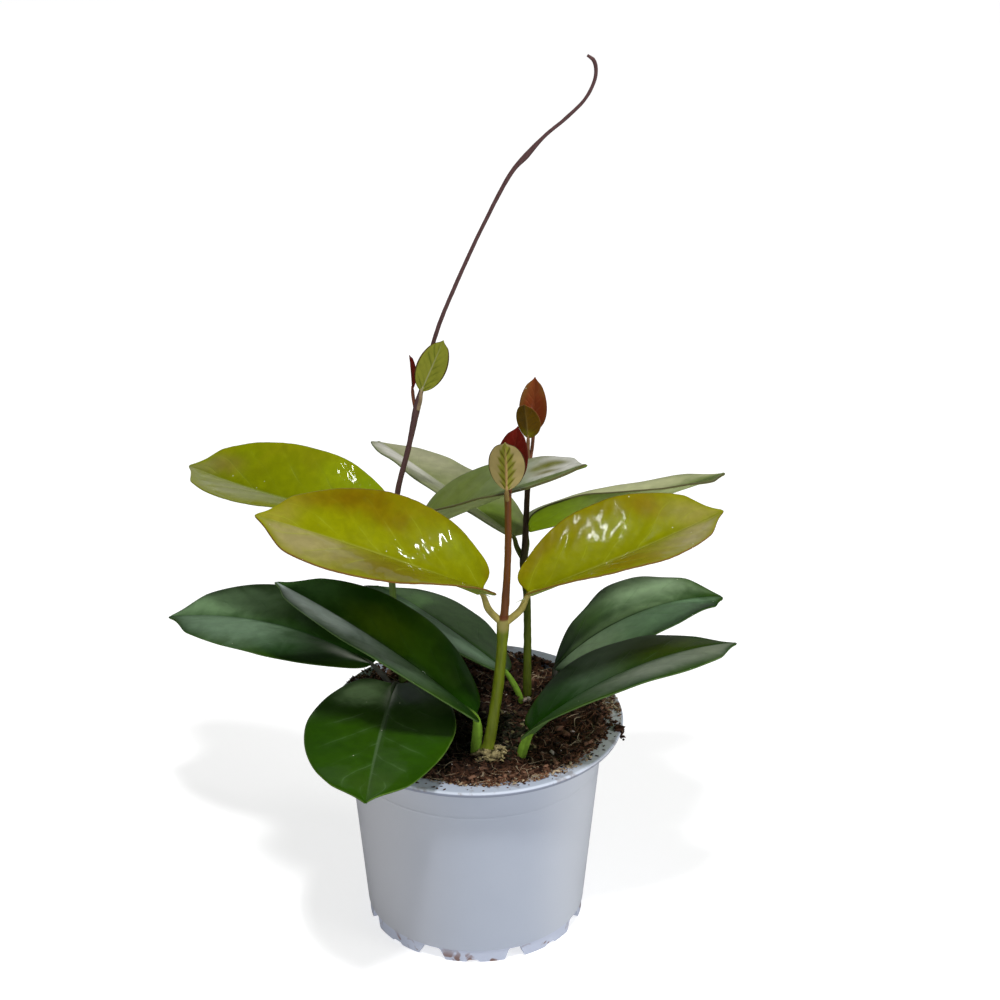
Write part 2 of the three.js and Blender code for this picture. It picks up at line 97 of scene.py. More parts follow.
# The blade width that ripples are sized for, the side veins on each half, their slant and curve, the width
# of a crinkle, and how far off the midrib a patch has to lie to stay on its own half
USUAL_WIDTH = 57
VEINS = 6
VEIN_SLANT = 0.32
VEIN_CURVE = 0.8
CRINKLE = 2.4
ONE_SIDED = 0.25

# Stems: the points of the middle line, each with its radius
STEMS = {
    "stem_front": [
        ((3.5, -30.8, SOIL_LEVEL - ROOT_DEPTH), 2.6),
        ((4.9, -30.6, 90), 3.4),
        ((5.8, -30.4, 95.5), 2.3),
        ((6.9, -30, 102), 2.25),
        ((9.1, -29, 118), 2.15),
        ((10.9, -28.2, 138), 2.1),
        ((11.3, -28, 147.5), 2.5),
        ((11.8, -28, 152), 1.6),
        ((13.1, -28, 177), 1.35),
        ((13.1, -28, 196), 1.3),
        ((13, -28, 203), 1.45),
    ],
    "stem_back": [
        ((21.5, 13.5, SOIL_LEVEL - ROOT_DEPTH), 1.7),
        ((21.2, 16, 91), 1.8),
        ((21.3, 21, 109), 1.6),
        ((21, 24, 131.5), 1.5),
        ((19.7, 25.5, 147.5), 1.8),
        ((20, 25.7, 151.5), 1.3),
        ((20.9, 26, 175), 1.15),
        ((21.4, 26, 191.5), 1.25),
    ],
    "stem_vine": [
        ((-29, 25, SOIL_LEVEL - ROOT_DEPTH), 1.5),
        ((-30, 25, 91), 1.6),
        ((-33.3, 22.5, 132), 1.4),
        ((-33.4, 22, 156), 1.7),
        ((-32.4, 22, 162), 1.2),
        ((-30.6, 22, 180), 1.15),
        ((-25.8, 22, 200), 1.1),
        ((-22.6, 22, 216), 1.5),
        ((-20.4, 22, 225), 0.95),
        ((-14.6, 22, 248), 0.85),
        ((-8.8, 22, 263.5), 0.8),
        ((3.8, 22, 292.5), 0.75),
        ((14.8, 22, 314), 0.85),
        ((19.9, 22, 320), 1.15),
        ((27, 22, 328), 0.7),
        ((35, 22, 335), 0.7),
        ((42.3, 22, 343), 0.65),
        ((45.6, 22, 351.5), 0.7),
        ((44.8, 22, 357), 0.8),
        ((42.4, 22, 359), 0.55),
    ],
}


# Leaves. The petiole runs from its root to the blade's base. The midrib heads along its azimuth and rise,
# sinks by its droop and turns by its sweep on the way to the tip. The roll lifts the right edge, as seen from
# the base, and the twist adds to it on the way. The fold lifts both halves from the midrib, and opens on the
# way. The lobe is how far the base reaches back past the petiole, and the wave is how far the margin swings.
def leaf(name, look, root, base, petiole, course, blade, wave=0.0, twist=0.0):
    keys = ("azimuth", "rise", "droop", "sweep", "roll")
    sizes = ("fold", "opening", "length", "width", "shoulder", "lobe")
    return dict(name=name, look=look, root=root, base=base, petiole=petiole, wave=wave, twist=twist,
                **dict(zip(keys, course)), **dict(zip(sizes, blade)))


LEAVES = [
    leaf("leaf_front_upper_left", "lime_flushed", (11, -28, 147.5), (2.9, -28.1, 160.7), 1.4,
         (195, 30, 12.5, -17.5, 8.7), (42, 35, 94, 61, 0.5, 4), 0.2, 8),
    leaf("leaf_front_upper_right", "lime_flushed", (12, -28, 147.5), (21.3, -27, 159.5), 1.4,
         (11.6, 17, 0, 11, -6), (43.5, 17.5, 83, 52, 0.53, 4), 0.25, -13),
    leaf("leaf_front_lower_left", "dark", (0.4, -29.5, SOIL_LEVEL), (0.5, -31.5, 107.5), 2.1,
         (175, 45, 36, -30, -7), (21, 0, 98, 57, 0.46, 1.5), 0.15),
    leaf("leaf_front_lower_right", "dark", (18.6, -30.5, SOIL_LEVEL), (22.1, -31.8, 100.3), 2,
         (1.4, 47, 53.6, 19.8, 11.4), (23, 19.5, 92.2, 53.3, 0.45, 3.5), 0.25, -2.2),
    leaf("leaf_back_upper_left", "pale", (19.6, 25.6, 148), (15.5, 31.5, 155), 1.2,
         (139, 16, 21, -21, -21), (18, 0, 93, 50, 0.48, 2), 0.4),
    leaf("leaf_back_upper_right", "green", (19.9, 25.4, 148), (21.3, 27.8, 160), 1.2,
         (13.5, 7, -1, 12, 31), (29, 18, 87, 55, 0.39, 1.2), 0.25, -14),
    leaf("leaf_back_lower_left", "dark", (18.6, 12.8, SOIL_LEVEL), (12.4, 16.1, 100.9), 1.3,
         (145.3, 23, 40, -31.5, -25.4), (7, -7, 88, 51, 0.52, 0.7), 0.15, 10.6),
    leaf("leaf_back_lower_right", "dark", (35, 18, SOIL_LEVEL), (32.6, 20.8, 99.5), 1.6,
         (6, 49, 60.5, 14, 0.6), (8, -7.5, 79, 56, 0.72, 0), 0.6, 7.3),
    leaf("leaf_vine_upper_left", "lime", (-33.4, 22, 156), (-36.5, 22.3, 165.5), 1.2,
         (161.3, 2.3, 0.8, -21.5, 6), (42, 9, 95.3, 51.6, 0.47, 2.7), 0.2, 18),
    leaf("leaf_vine_upper_right", "green", (-33.2, 22, 156), (-22.2, 19.3, 164.6), 1.2,
         (-24, 33, 5, -2, 0.7), (35.5, 27, 84, 49.5, 0.4, 0), 0.3),
    leaf("leaf_vine_lower_left", "dark", (-34, 20.5, SOIL_LEVEL), (-42.5, 20.5, 102), 1.2,
         (144, 12, 22, 26, 3), (12, 0, 96, 56, 0.66, 1), 0.15),
    leaf("leaf_vine_lower_front", "rich", (-27, 6, SOIL_LEVEL), (-32.2, -4, 106.5), 1.8,
         (261, -9, -17, 8, -0.6), (11, 0, 88.2, 60, 0.44, 3), 0.3),
]

YOUNG_LEAVES = [
    leaf("leaf_front_young_near", "bronze", (12.8, -28.8, 201), (12.6, -31, 206), 0.9,
         (262, 84, 12, 0, 0), (24, 0, 22.5, 15.5, 0.55, 0)),
    leaf("leaf_front_young_far", "red", (13.2, -27.2, 201), (14, -25.8, 206), 0.9,
         (50, 80, 2, 0, -25), (28, 0, 23, 14, 0.55, 0)),
    leaf("leaf_back_young_near", "olive", (21.1, 25.3, 190.5), (21.2, 23.2, 202.6), 0.75,
         (245, 82, 10, 0, 0), (22, 0, 16.5, 11.5, 0.55, 0)),
    leaf("leaf_back_young_far", "copper", (21.9, 26.9, 190.5), (23.4, 29, 203.6), 0.75,
         (78, 86, 4, 0, 0), (26, 0, 22, 12.5, 0.55, 0)),
    leaf("leaf_vine_young_green", "young_green", (-22, 21.2, 216), (-20.6, 19.6, 224.5), 0.8,
         (-32, 66, 0, 0, 65), (18, 0, 26, 12.5, 0.55, 0)),
    leaf("leaf_vine_young_purple", "red", (-23.2, 22.6, 216), (-24.2, 23.6, 223.5), 0.7,
         (170, 88, 4, 0, 0), (24, 0, 14.5, 7.5, 0.55, 0)),
]


# How each kind of leaf looks. Colours are linear. The flush is a second colour in blotches, the heart a third
# round the midrib. Veins and midrib are drawn by their strength. Quilt, crinkle and wrinkle are the blade's
# ripples, from wide to fine.
def look(slot, wrinkle, **own):
    usual = dict(flush_share=0.3, specks=0.2, crinkle=0, rim_below=0.3, rib_width=0.022,
                 vein_reach=(0.5, 0.88), vein_spread=0.35, heart=None, quilt=wrinkle)
    return {**usual, "slot": slot, "wrinkle": wrinkle, **own}


LOOKS = {
    "lime_flushed": look(
        "leaf_lime", face=(0.205, 0.22, 0.001), flush=(0.19, 0.155, 0.001), flush_share=0.35,
        rim=(0.15, 0.06, 0.02), rim_width=0.022, vein=(0.3, 0.34, 0.02), vein_strength=0.3,
        rib=(0.24, 0.25, 0.03), under=(0.2, 0.25, 0.04), stalk=(0.33, 0.28, 0.08), rough=0.26, coat=0.5,
        specks=1, wrinkle=0.6, quilt=0.45, crinkle=1,
    ),
    "lime": look(
        "leaf_lime", face=(0.19, 0.222, 0.001), flush=(0.2, 0.19, 0.004), flush_share=0.25,
        rim=(0.16, 0.17, 0.03), rim_width=0.018, vein=(0.24, 0.29, 0.03), vein_strength=0.28,
        rib=(0.22, 0.27, 0.08), under=(0.16, 0.23, 0.04), stalk=(0.18, 0.2, 0.04), rough=0.28, coat=0.4,
        specks=1.6, wrinkle=0.6, quilt=0.25, crinkle=0.8,
    ),
    "green": look(
        "leaf_green", face=(0.105, 0.15, 0.03), flush=(0.15, 0.17, 0.05), rim=(0.075, 0.06, 0.03),
        rim_width=0.03, vein=(0.17, 0.23, 0.07), vein_strength=0.12, rib=(0.2, 0.25, 0.1),
        under=(0.12, 0.185, 0.018), stalk=(0.09, 0.11, 0.025), rough=0.34, coat=0.2, specks=0.3,
        wrinkle=0.6,
    ),
    "pale": look(
        "leaf_pale", face=(0.2, 0.225, 0.09), flush=(0.24, 0.26, 0.12), rim=(0.13, 0.15, 0.07),
        rim_width=0.02, vein=(0.28, 0.31, 0.16), vein_strength=0.1, rib=(0.26, 0.3, 0.15),
        under=(0.22, 0.27, 0.12), stalk=(0.09, 0.11, 0.025), rough=0.38, coat=0.15, wrinkle=0.4,
    ),
    "dark": look(
        "leaf_dark", face=(0.007, 0.034, 0.001), flush=(0.02, 0.054, 0.001), flush_share=0.45,
        rim=(0.1, 0.16, 0.05), rim_width=0.008, vein=(0.03, 0.085, 0.02), vein_strength=0.12,
        rib=(0.006, 0.024, 0.003), under=(0.06, 0.11, 0.03), stalk=(0.18, 0.33, 0.035), rough=0.34,
        coat=0.1, specks=0.5, wrinkle=0.25,
    ),
    "rich": look(
        "leaf_dark", face=(0.021, 0.066, 0.001), flush=(0.014, 0.052, 0.001), rim=(0.1, 0.17, 0.03),
        rim_width=0.01, vein=(0.11, 0.2, 0.07), vein_strength=0.24, rib=(0.095, 0.155, 0.07),
        under=(0.06, 0.11, 0.03), stalk=(0.2, 0.23, 0.16), rough=0.36, coat=0.12, specks=0.7, wrinkle=0.2,
    ),
    "bronze": look(
        "leaf_bronze", face=(0.145, 0.035, 0.015), flush=(0.1, 0.06, 0.02), rim=(0.04, 0.022, 0.01),
        rim_width=0.05, rim_below=0.95, vein=(0.06, 0.038, 0.003), vein_strength=0.9, vein_spread=0.8,
        vein_reach=(0.3, 0.62), heart=(0.17, 0.185, 0.012), heart_reach=(0.38, 0.6),
        rib=(0.42, 0.25, 0.115), rib_width=0.075, under=(0.3, 0.24, 0.095), stalk=(0.25, 0.17, 0.06),
        rough=0.34, coat=0.3, wrinkle=0.9,
    ),
    "olive": look(
        "leaf_bronze", face=(0.11, 0.04, 0.012), flush=(0.1, 0.05, 0.02), flush_share=0.4,
        rim=(0.15, 0.06, 0.02), rim_width=0.04, rim_below=0.8, vein=(0.06, 0.03, 0.002), vein_strength=0.25,
        rib=(0.2, 0.13, 0.035), rib_width=0.07, under=(0.118, 0.058, 0.001), stalk=(0.24, 0.12, 0.06),
        rough=0.3, coat=0.5, wrinkle=1,
    ),
    # The red and copper young leaves' many pale specks are painted glints
    "red": look(
        "leaf_red", face=(0.13, 0.01, 0.006), flush=(0.055, 0.01, 0.006), flush_share=0.4,
        rim=(0.08, 0.012, 0.01), rim_width=0.05, rim_below=0.5, vein=(0.2, 0.03, 0.016), vein_strength=0.5,
        rib=(0.22, 0.05, 0.025), under=(0.13, 0.04, 0.014), stalk=(0.17, 0.06, 0.035), rough=0.22, coat=0.7,
        specks=3.5, wrinkle=1,
    ),
    "copper": look(
        "leaf_red", face=(0.2, 0.04, 0.012), flush=(0.165, 0.075, 0.018), flush_share=0.5,
        rim=(0.1, 0.016, 0.01), rim_width=0.05, rim_below=0.5, vein=(0.26, 0.08, 0.03), vein_strength=0.4,
        rib=(0.26, 0.08, 0.03), under=(0.15, 0.05, 0.016), stalk=(0.2, 0.08, 0.045), rough=0.22, coat=0.7,
        specks=3.5, wrinkle=1,
    ),
    "young_green": look(
        "leaf_green", face=(0.2, 0.225, 0.03), flush=(0.17, 0.15, 0.03), flush_share=0.4,
        rim=(0.065, 0.035, 0.012), rim_width=0.09, rim_below=0.95, vein=(0.085, 0.12, 0.008),
        vein_strength=0.7, vein_spread=0.8, rib=(0.34, 0.34, 0.18), rib_width=0.05,
        under=(0.23, 0.245, 0.028), stalk=(0.3, 0.22, 0.13), rough=0.36, coat=0.3, wrinkle=0.8,
    ),
}

# The leaves whose green petiole is painted a dull grey as painted shade and painted reflection, and that grey
SHADE_GREY_STALK_LEAVES = ("leaf_vine_lower_left", "leaf_vine_lower_front", "leaf_back_lower_right")
SHADE_GREY_STALK_COLOUR = (0.085, 0.085, 0.07)

# Soft patches on a leaf's top or underside: the middle along and across the blade, how far it spreads each
# way, its colour and its strength. They carry the bronze flush and the paler tips, and also painted light:
# painted sheen and glare where a blade would mirror bright surroundings, and painted shade where leaves shade
# one another.
PATCHES = {
    "leaf_front_upper_left": [
        (0.62, 0.8, 0.26, 0.34, (0.152, 0.098, 0.001), 0.8),
        (0.45, 0.55, 0.1, 0.22, (0.16, 0.112, 0.001), 0.55),
        (0.92, 0.3, 0.1, 0.6, (0.25, 0.225, 0.025), 0.75),
        (0.16, 0.6, 0.12, 0.4, (0.21, 0.245, 0.004), 0.6),
        (0.1, -0.6, 0.16, 0.7, (0.135, 0.118, 0.001), 0.9),
        (0.46, -0.5, 0.22, 0.6, (0.142, 0.115, 0.003), 0.92),
        (0.8, -0.4, 0.19, 0.55, (0.295, 0.255, 0.1), 0.92),
    ],
    "leaf_front_upper_right": [
        (0.68, -0.7, 0.13, 0.34, (0.19, 0.13, 0.002), 0.65),
        (0.88, -0.3, 0.14, 0.6, (0.265, 0.24, 0.045), 0.8),
        (0.15, -0.8, 0.14, 0.25, (0.18, 0.125, 0.008), 0.5),
        (0.46, 0.5, 0.2, 0.55, (0.19, 0.135, 0.003), 0.85),
        (0.8, 0.5, 0.17, 0.55, (0.3, 0.265, 0.11), 0.92),
    ],
    "leaf_front_upper_right/under": [
        (0.3, 0.6, 0.4, 0.8, (0.33, 0.38, 0.09), 0.85),
    ],
    "leaf_vine_upper_left": [
        (0.82, 0.4, 0.13, 0.34, (0.215, 0.18, 0.022), 0.65),
        (0.94, 0.3, 0.09, 0.5, (0.22, 0.23, 0.06), 0.65),
        (0.26, 0.6, 0.14, 0.5, (0.235, 0.29, 0.003), 0.7),
        (0.08, 0.4, 0.1, 0.8, (0.17, 0.26, 0.003), 0.75),
        (0.97, -0.3, 0.06, 0.8, (0.215, 0.225, 0.06), 0.7),
        (0.62, -0.35, 0.32, 0.6, (0.268, 0.278, 0.15), 0.92),
    ],
    "leaf_vine_lower_left": [
        (0.8, 0.45, 0.32, 0.55, (0.142, 0.236, 0.114), 0.92),
        (0.24, 0.5, 0.2, 0.6, (0.003, 0.012, 0.001), 0.95),
        (0.2, -0.5, 0.11, 0.6, (0.007, 0.024, 0.001), 0.88),
        (0.68, -0.35, 0.3, 0.66, (0.122, 0.2, 0.117), 0.96),
        (0.26, 0, 0.1, 0.35, (0.004, 0.014, 0.001), 0.88),
        (0.07, -0.26, 0.09, 0.14, (0.33, 0.35, 0.3), 0.9),
    ],
    "leaf_front_lower_left": [
        (0.86, 0.5, 0.14, 0.6, (0.036, 0.088, 0.024), 0.8),
        (0.28, 0.35, 0.24, 0.4, (0.022, 0.068, 0.001), 0.75),
        (0.54, 0.3, 0.17, 0.4, (0.042, 0.08, 0.001), 0.75),
        (0.36, -0.4, 0.2, 0.6, (0.056, 0.098, 0.044), 0.85),
        (0.78, -0.35, 0.24, 0.62, (0.44, 0.52, 0.51), 0.97),
    ],
    "leaf_vine_lower_front": [
        (0.1, 0.5, 0.1, 0.5, (0.33, 0.5, 0.24), 0.85),
        (0.06, -0.45, 0.12, 0.5, (0.1, 0.12, 0.115), 0.85),
        (0.5, -0.62, 0.24, 0.32, (0.02, 0.072, 0.001), 0.7),
        (0.84, 0, 0.14, 0.7, (0.029, 0.074, 0.003), 0.7),
        (0.03, 0, 0.13, 0.09, (0.42, 0.44, 0.39), 0.95),
    ],
    "leaf_back_lower_right": [
        (0.64, -0.6, 0.3, 0.5, (0.205, 0.3, 0.165), 0.92),
        (0.26, -0.55, 0.14, 0.36, (0.024, 0.062, 0.004), 0.88),
        (0.36, -0.06, 0.34, 0.12, (0.2, 0.31, 0.15), 0.8),
        (0.52, 0.4, 0.4, 0.6, (0.18, 0.34, 0.175), 0.96),
        (0.22, 0.45, 0.18, 0.6, (0.35, 0.52, 0.29), 0.92),
    ],
    "leaf_front_lower_right": [
        (0.38, -0.4, 0.17, 0.5, (0.06, 0.098, 0.058), 0.88),
        (0.72, -0.4, 0.28, 0.6, (0.022, 0.038, 0.001), 0.95),
        (0.22, 0.5, 0.2, 0.5, (0.016, 0.062, 0.006), 0.8),
        (0.62, 0.42, 0.26, 0.46, (0.148, 0.18, 0.127), 0.92),
        (0.88, 0.3, 0.12, 0.6, (0.145, 0.175, 0.115), 0.92),
    ],
    "leaf_back_lower_left": [
        (0.55, 0.4, 0.7, 0.9, (0.058, 0.122, 0.034), 0.9),
        (0.3, -0.4, 0.5, 0.7, (0.095, 0.16, 0.092), 0.95),
    ],
    "leaf_back_upper_left": [
        (0.8, 0.5, 0.34, 0.6, (0.31, 0.31, 0.18), 0.9),
        (0.14, 0.2, 0.2, 0.9, (0.1, 0.15, 0.018), 0.92),
        (0.68, -0.45, 0.3, 0.55, (0.6, 0.59, 0.52), 0.95),
    ],
    "leaf_back_upper_right": [
        (0.55, -0.6, 0.5, 0.6, (0.42, 0.44, 0.215), 0.95),
    ],
    "leaf_back_upper_right/under": [
        (0.1, 0.4, 0.22, 0.9, (0.29, 0.44, 0.002), 0.95),
        (0.7, 0.6, 0.34, 0.9, (0.52, 0.6, 0.26), 0.9),
    ],
    "leaf_vine_upper_right": [
        (0.22, -0.5, 0.26, 0.6, (0.125, 0.165, 0.034), 0.85),
        (0.84, -0.5, 0.26, 0.8, (0.56, 0.56, 0.5), 0.9),
        (0.79, -0.64, 0.07, 0.15, (0.12, 0.125, 0.01), 1),
        (0.73, -0.54, 0.065, 0.17, (0.13, 0.14, 0.01), 1),
        (0.67, -0.46, 0.05, 0.13, (0.13, 0.14, 0.016), 1),
        (0.75, -0.24, 0.075, 0.075, (0.14, 0.13, 0.02), 1),
    ],
    "leaf_back_young_near/under": [
        (0.06, 0, 0.2, 1, (0.17, 0.15, 0.003), 0.85),
    ],
    "leaf_vine_upper_right/under": [
        (0.4, 0.5, 0.5, 0.9, (0.4, 0.47, 0.18), 0.9),
    ],
}

# Small things: places from the axis with their sizes
SPIKES = [((3.2, -29.2, 161.3), (7, -30.5, 159.8)), ((19.7, -28.8, 158.5), (16.2, -30, 157.5))]
CALLUS = [((4.4, -33.4, 91), 2.9), ((9.2, -32.2, 91.8), 2.9), ((2.4, -32, 90.6), 1.9), ((6.8, -34.2, 90), 2)]
PERLITE = [(31, -29, 1.0), (35, -24, 0.7), (24, -42, 0.8), (14, -41, 0.7), (39, -14, 0.6), (26, 2, 0.9),
           (20, -5, 0.8), (22.6, 12.6, 1.3), (20.2, 12.2, 1.1)]
# Mounds and hollows of the peat: the place from the axis, the height and the reach
MOUNDS = [(12, -18, 2.2, 11), (5, -30, 1.4, 6), (18.5, 8, -2.4, 5), (40, 5, 1.8, 14), (-30, 20, 1.2, 12)]
# The middle of the soil under the leaves, round which the peat is painted darker as shade; further out it is
# painted lighter
SHADE_MIDDLE = (-10, -12, SOIL_LEVEL)
# Where soil has run out over the flange: the direction from the axis, how wide, and how far
SPILLS = [(-14, 26, 5.4), (-78, 24, 3.2), (82, 30, 4.2), (124, 14, 6), (147, 17, 9.5)]
# Where dry flakes lie on the flange: the direction and its spread, how far out from and to, and how many
HUSKS = [(8, 6, 51, 59.3, 200), (-98, 4, 51, 54.5, 40), (-84, 4, 51, 55, 70), (-64, 7, 51, 56, 150),
         (-43, 5, 53, 57, 60)]
# Numbers of grains and fibres. The one of the callus's crust is for each millimetre of a lump's size.
CALLUS_CRUST = 26
CALLUS_CRUMBS = 60
CRUMBS = 1300
MOSS_GRAINS = 420
SPILLED_CRUMBS = 2200
LOOSE_CRUMBS = 70
CLOD_GRAINS = 14
FIBRES = 1500
STREWN_PERLITE = 30
# The moss: its middle, and how far it spreads each way
MOSS_MIDDLE = (11, -17)
MOSS_SPREAD = (6.5, 8.5)
# The clod that hangs over the rim
CLOD = (57.6, -12, 1)
CLOD_DROP = 5
# Seeds of the random numbers
SEEDS = dict(callus=12, crumbs=5, moss=6, spill=23, husks=17, fibres=31, perlite=8)
# Meshes: a blade's rows and columns, how finely the other pieces are divided, and the angle between two faces
# of the pot from which their edge is sharp
CRINKLED_GRID = (128, 48)
GROWN_GRID = (72, 36)
YOUNG_GRID = (36, 20)
PETIOLE_STEPS = 26
PETIOLE_SIDES = 14
YOUNG_PETIOLE_SIDES = 10
POT_SIDES = 160
SOIL_SIDES = 300
SOIL_RINGS = 96
SHARP_EDGE = 40

# Stems: steps along and sides round, the slot, the colours below and above, the heights between which they
# change, the heights of red collars, and the roughness
STEM_LOOKS = {
    "stem_front": (110, 20, "stem",
                   ((0.135, 0.175, 0.008), (0.135, 0.046, 0.012), (147, 153), (150.5,), 0.36)),
    "stem_back": (100, 16, "stem", ((0.088, 0.118, 0.008), (0.045, 0.022, 0.012), (125, 160), (), 0.36)),
    "stem_vine": (240, 12, "vine", ((0.09, 0.15, 0.025), (0.095, 0.045, 0.045), (132, 160), (), 0.45)),
}
# Peats: the colours of the dark and the brown parts, of clods, and of grains with a high tone
PEATS = {
    "peat": ((0.009, 0.004, 0.003), (0.078, 0.032, 0.017), (0.026, 0.011, 0.007), (0.19, 0.098, 0.06)),
    "peat_fibre": ((0.07, 0.028, 0.016), (0.2, 0.095, 0.05), (0.11, 0.048, 0.026), (0.46, 0.38, 0.26)),
    "moss": ((0.008, 0.009, 0.004), (0.04, 0.04, 0.018), (0.018, 0.02, 0.008), (0.34, 0.3, 0.14)),
}

# Camera: place, degrees down, lens and sensor, and how far it sees in metres
CAMERA_PLACE = (10.08, -973.01, 661.36)
CAMERA_DOWN = 26
CAMERA_LENS = 100
CAMERA_SENSOR = 36
CAMERA_SIGHT = 20
# Lamps in metres: place, aim, width and height, watts, and whether they show in glossy surfaces
MIDDLE = (0, 0, 0.15)
LAMPS = {
    "key": ((0.05, -0.62, 1.55), MIDDLE, (0.16, 0.16), 11.9, False),
    "spark_front": ((0.05, -0.62, 1.55), MIDDLE, (0.024, 0.15), 3.8, True),
    "spark_right": ((1.25, -0.05, 1.5), MIDDLE, (0.24, 0.045), 3.6, True),
    "spark_left": ((-0.65, -0.38, 1.55), MIDDLE, (0.035, 0.035), 0.25, True),
    "back": ((0.1, 2.1, 0.62), (0, 0, 0.3), (4.2, 1.2), 6, True),
    "side_fill": ((1.9, -1.0, 0.9), MIDDLE, (0.9, 0.9), 14, False),
}
WORLD_LIGHT = 0.36
FLOOR_HALF = 12
FLOOR_GLOW = 0.62


# Small helpers
def clamp(value, low=0.0, high=1.0):
    return max(low, min(high, value))


def smooth(value, low, high):
    share = clamp((value - low) / (high - low))
    return share * share * (3 - 2 * share)


def lerp(a, b, share):
    return a + (b - a) * share


def bell(distance, width):
    return math.exp(-((distance / width) ** 2))


def around(far, turn, height=0.0):
    """The point at a distance from the axis, in a direction given in radians."""
    return Vector((far * math.cos(turn), far * math.sin(turn), height))


def heading(azimuth, rise):
    level = around(math.cos(math.radians(rise)), math.radians(azimuth))
    return level + UP * math.sin(math.radians(rise))


def add_object(name, data):
    made = bpy.data.objects.new(name, data)
    bpy.context.scene.collection.objects.link(made)
    return made


# Meshes
class Shell:
    """Points and faces gathered from several closed skins, with four values kept for each point."""

    def __init__(self):
        self.points = []
        self.faces = []
        self.values = []

    def skin(self, rings, values=None):
        """Joins each ring to the next and closes both ends with a fan round the end ring's middle."""
        start = len(self.points)
        sides = len(rings[0])
        values = values or [[(0.0, 0.0, 0.0, 0.0)] * sides] * len(rings)
        for ring, kept in zip(rings, values):
            self.points.extend(ring)
            self.values.extend(kept)
        edges = [(k, (k + 1) % sides) for k in range(sides)]
        for low in range(start, start + sides * (len(rings) - 1), sides):
            self.faces.extend((low + a, low + b, low + b + sides, low + a + sides) for a, b in edges)
        for i in (0, len(rings) - 1):
            middle = len(self.points)
            self.points.append(sum((Vector(point) for point in rings[i]), Vector()) / sides)
            self.values.append(values[i][0])
            low = start + i * sides
            turned = [(b, a) for a, b in edges] if i == 0 else edges
            self.faces.extend((low + a, low + b, middle) for a, b in turned)

    def lump(self, centre, size, seed, rough=0.35, flat=0.7, value=0.0):
        """A small irregular grain: an icosahedron split once, pushed about by noise and drawn out one way."""
        start = len(self.points)
        turn = Vector((math.sin(seed * 1.7), math.cos(seed * 2.3), math.sin(seed * 3.1)))
        grain_line = Vector((turn.x, turn.y, 0.4 * turn.z)).normalized()
        for point in GRAIN_POINTS:
            coarse = noise.noise(point * 1.6 + turn * 19)
            fine = noise.noise(point * 3.9 + turn * 11)
            shape = point * (1 + rough * (coarse + 0.4 * fine)) * size
            shape = 0.8 * shape + grain_line * (0.9 * shape.dot(grain_line))
            shape.z *= flat
            self.points.append(Vector(centre) + shape)
            self.values.append((value, 0.0, 0.0, 0.0))
        self.faces.extend(tuple(start + corner for corner in face) for face in GRAIN_FACES)

    def mesh(self, name):
        made = bpy.data.meshes.new(name)
        made.from_pydata([put(point) for point in self.points], [], self.faces)
        return made

    def piece(self, name, material, attributes=None, node=None):
        """The object made of the skins. It rides on the plant's body and may stand for a node."""
        mesh = self.mesh(name)
        mesh.validate()
        mesh.shade_smooth()
        for key, values in (attributes or {}).items():
            wide = isinstance(values[0], tuple)
            layer = mesh.attributes.new(key, "FLOAT_VECTOR" if wide else "FLOAT", "POINT")
            for item, value in zip(layer.data, values):
                setattr(item, "vector" if wide else "value", value)
        mesh.materials.append(material)
        made = add_object(name, mesh)
        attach(made, "root")
        if node:
            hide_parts(node)
        return made

    def grains(self, name, material):
        """The same, for grains and strands: the first value of each point is its tone."""
        return self.piece(name, material, {"tone": [value[0] for value in self.values]})


def grain():
    """An icosahedron with each face split in four."""
    golden = (1 + math.sqrt(5)) / 2
    corners = []
    for a in (-1, 1):
        for b in (-golden, golden):
            corners.extend([Vector((a, b, 0)), Vector((0, a, b)), Vector((b, 0, a))])
    points = [corner.normalized() for corner in corners]
    edge = min((points[0] - other).length for other in points[1:]) * 1.01
    near = lambda i, j: (points[i] - points[j]).length < edge
    count = len(points)
    triples = [(i, j, k) for i in range(count) for j in range(i + 1, count) for k in range(j + 1, count)
               if near(i, j) and near(j, k) and near(i, k)]
    middles = {}

    def middle(i, j):
        key = (min(i, j), max(i, j))
        if key not in middles:
            middles[key] = len(points)
            points.append((points[i] + points[j]).normalized())
        return middles[key]

    faces = []
    for i, j, k in triples:
        if (points[j] - points[i]).cross(points[k] - points[i]).dot(points[i]) < 0:
            j, k = k, j
        ij, jk, ki = middle(i, j), middle(j, k), middle(k, i)
        faces.extend([(i, ij, ki), (j, jk, ij), (k, ki, jk), (ij, jk, ki)])
    return points, faces


GRAIN_POINTS, GRAIN_FACES = grain()


# Curves
def reaches(points):
    """How long a line of points is up to each of them."""
    reach = [0.0]
    for a, b in zip(points, points[1:]):
        reach.append(reach[-1] + (b - a).length)
    return reach


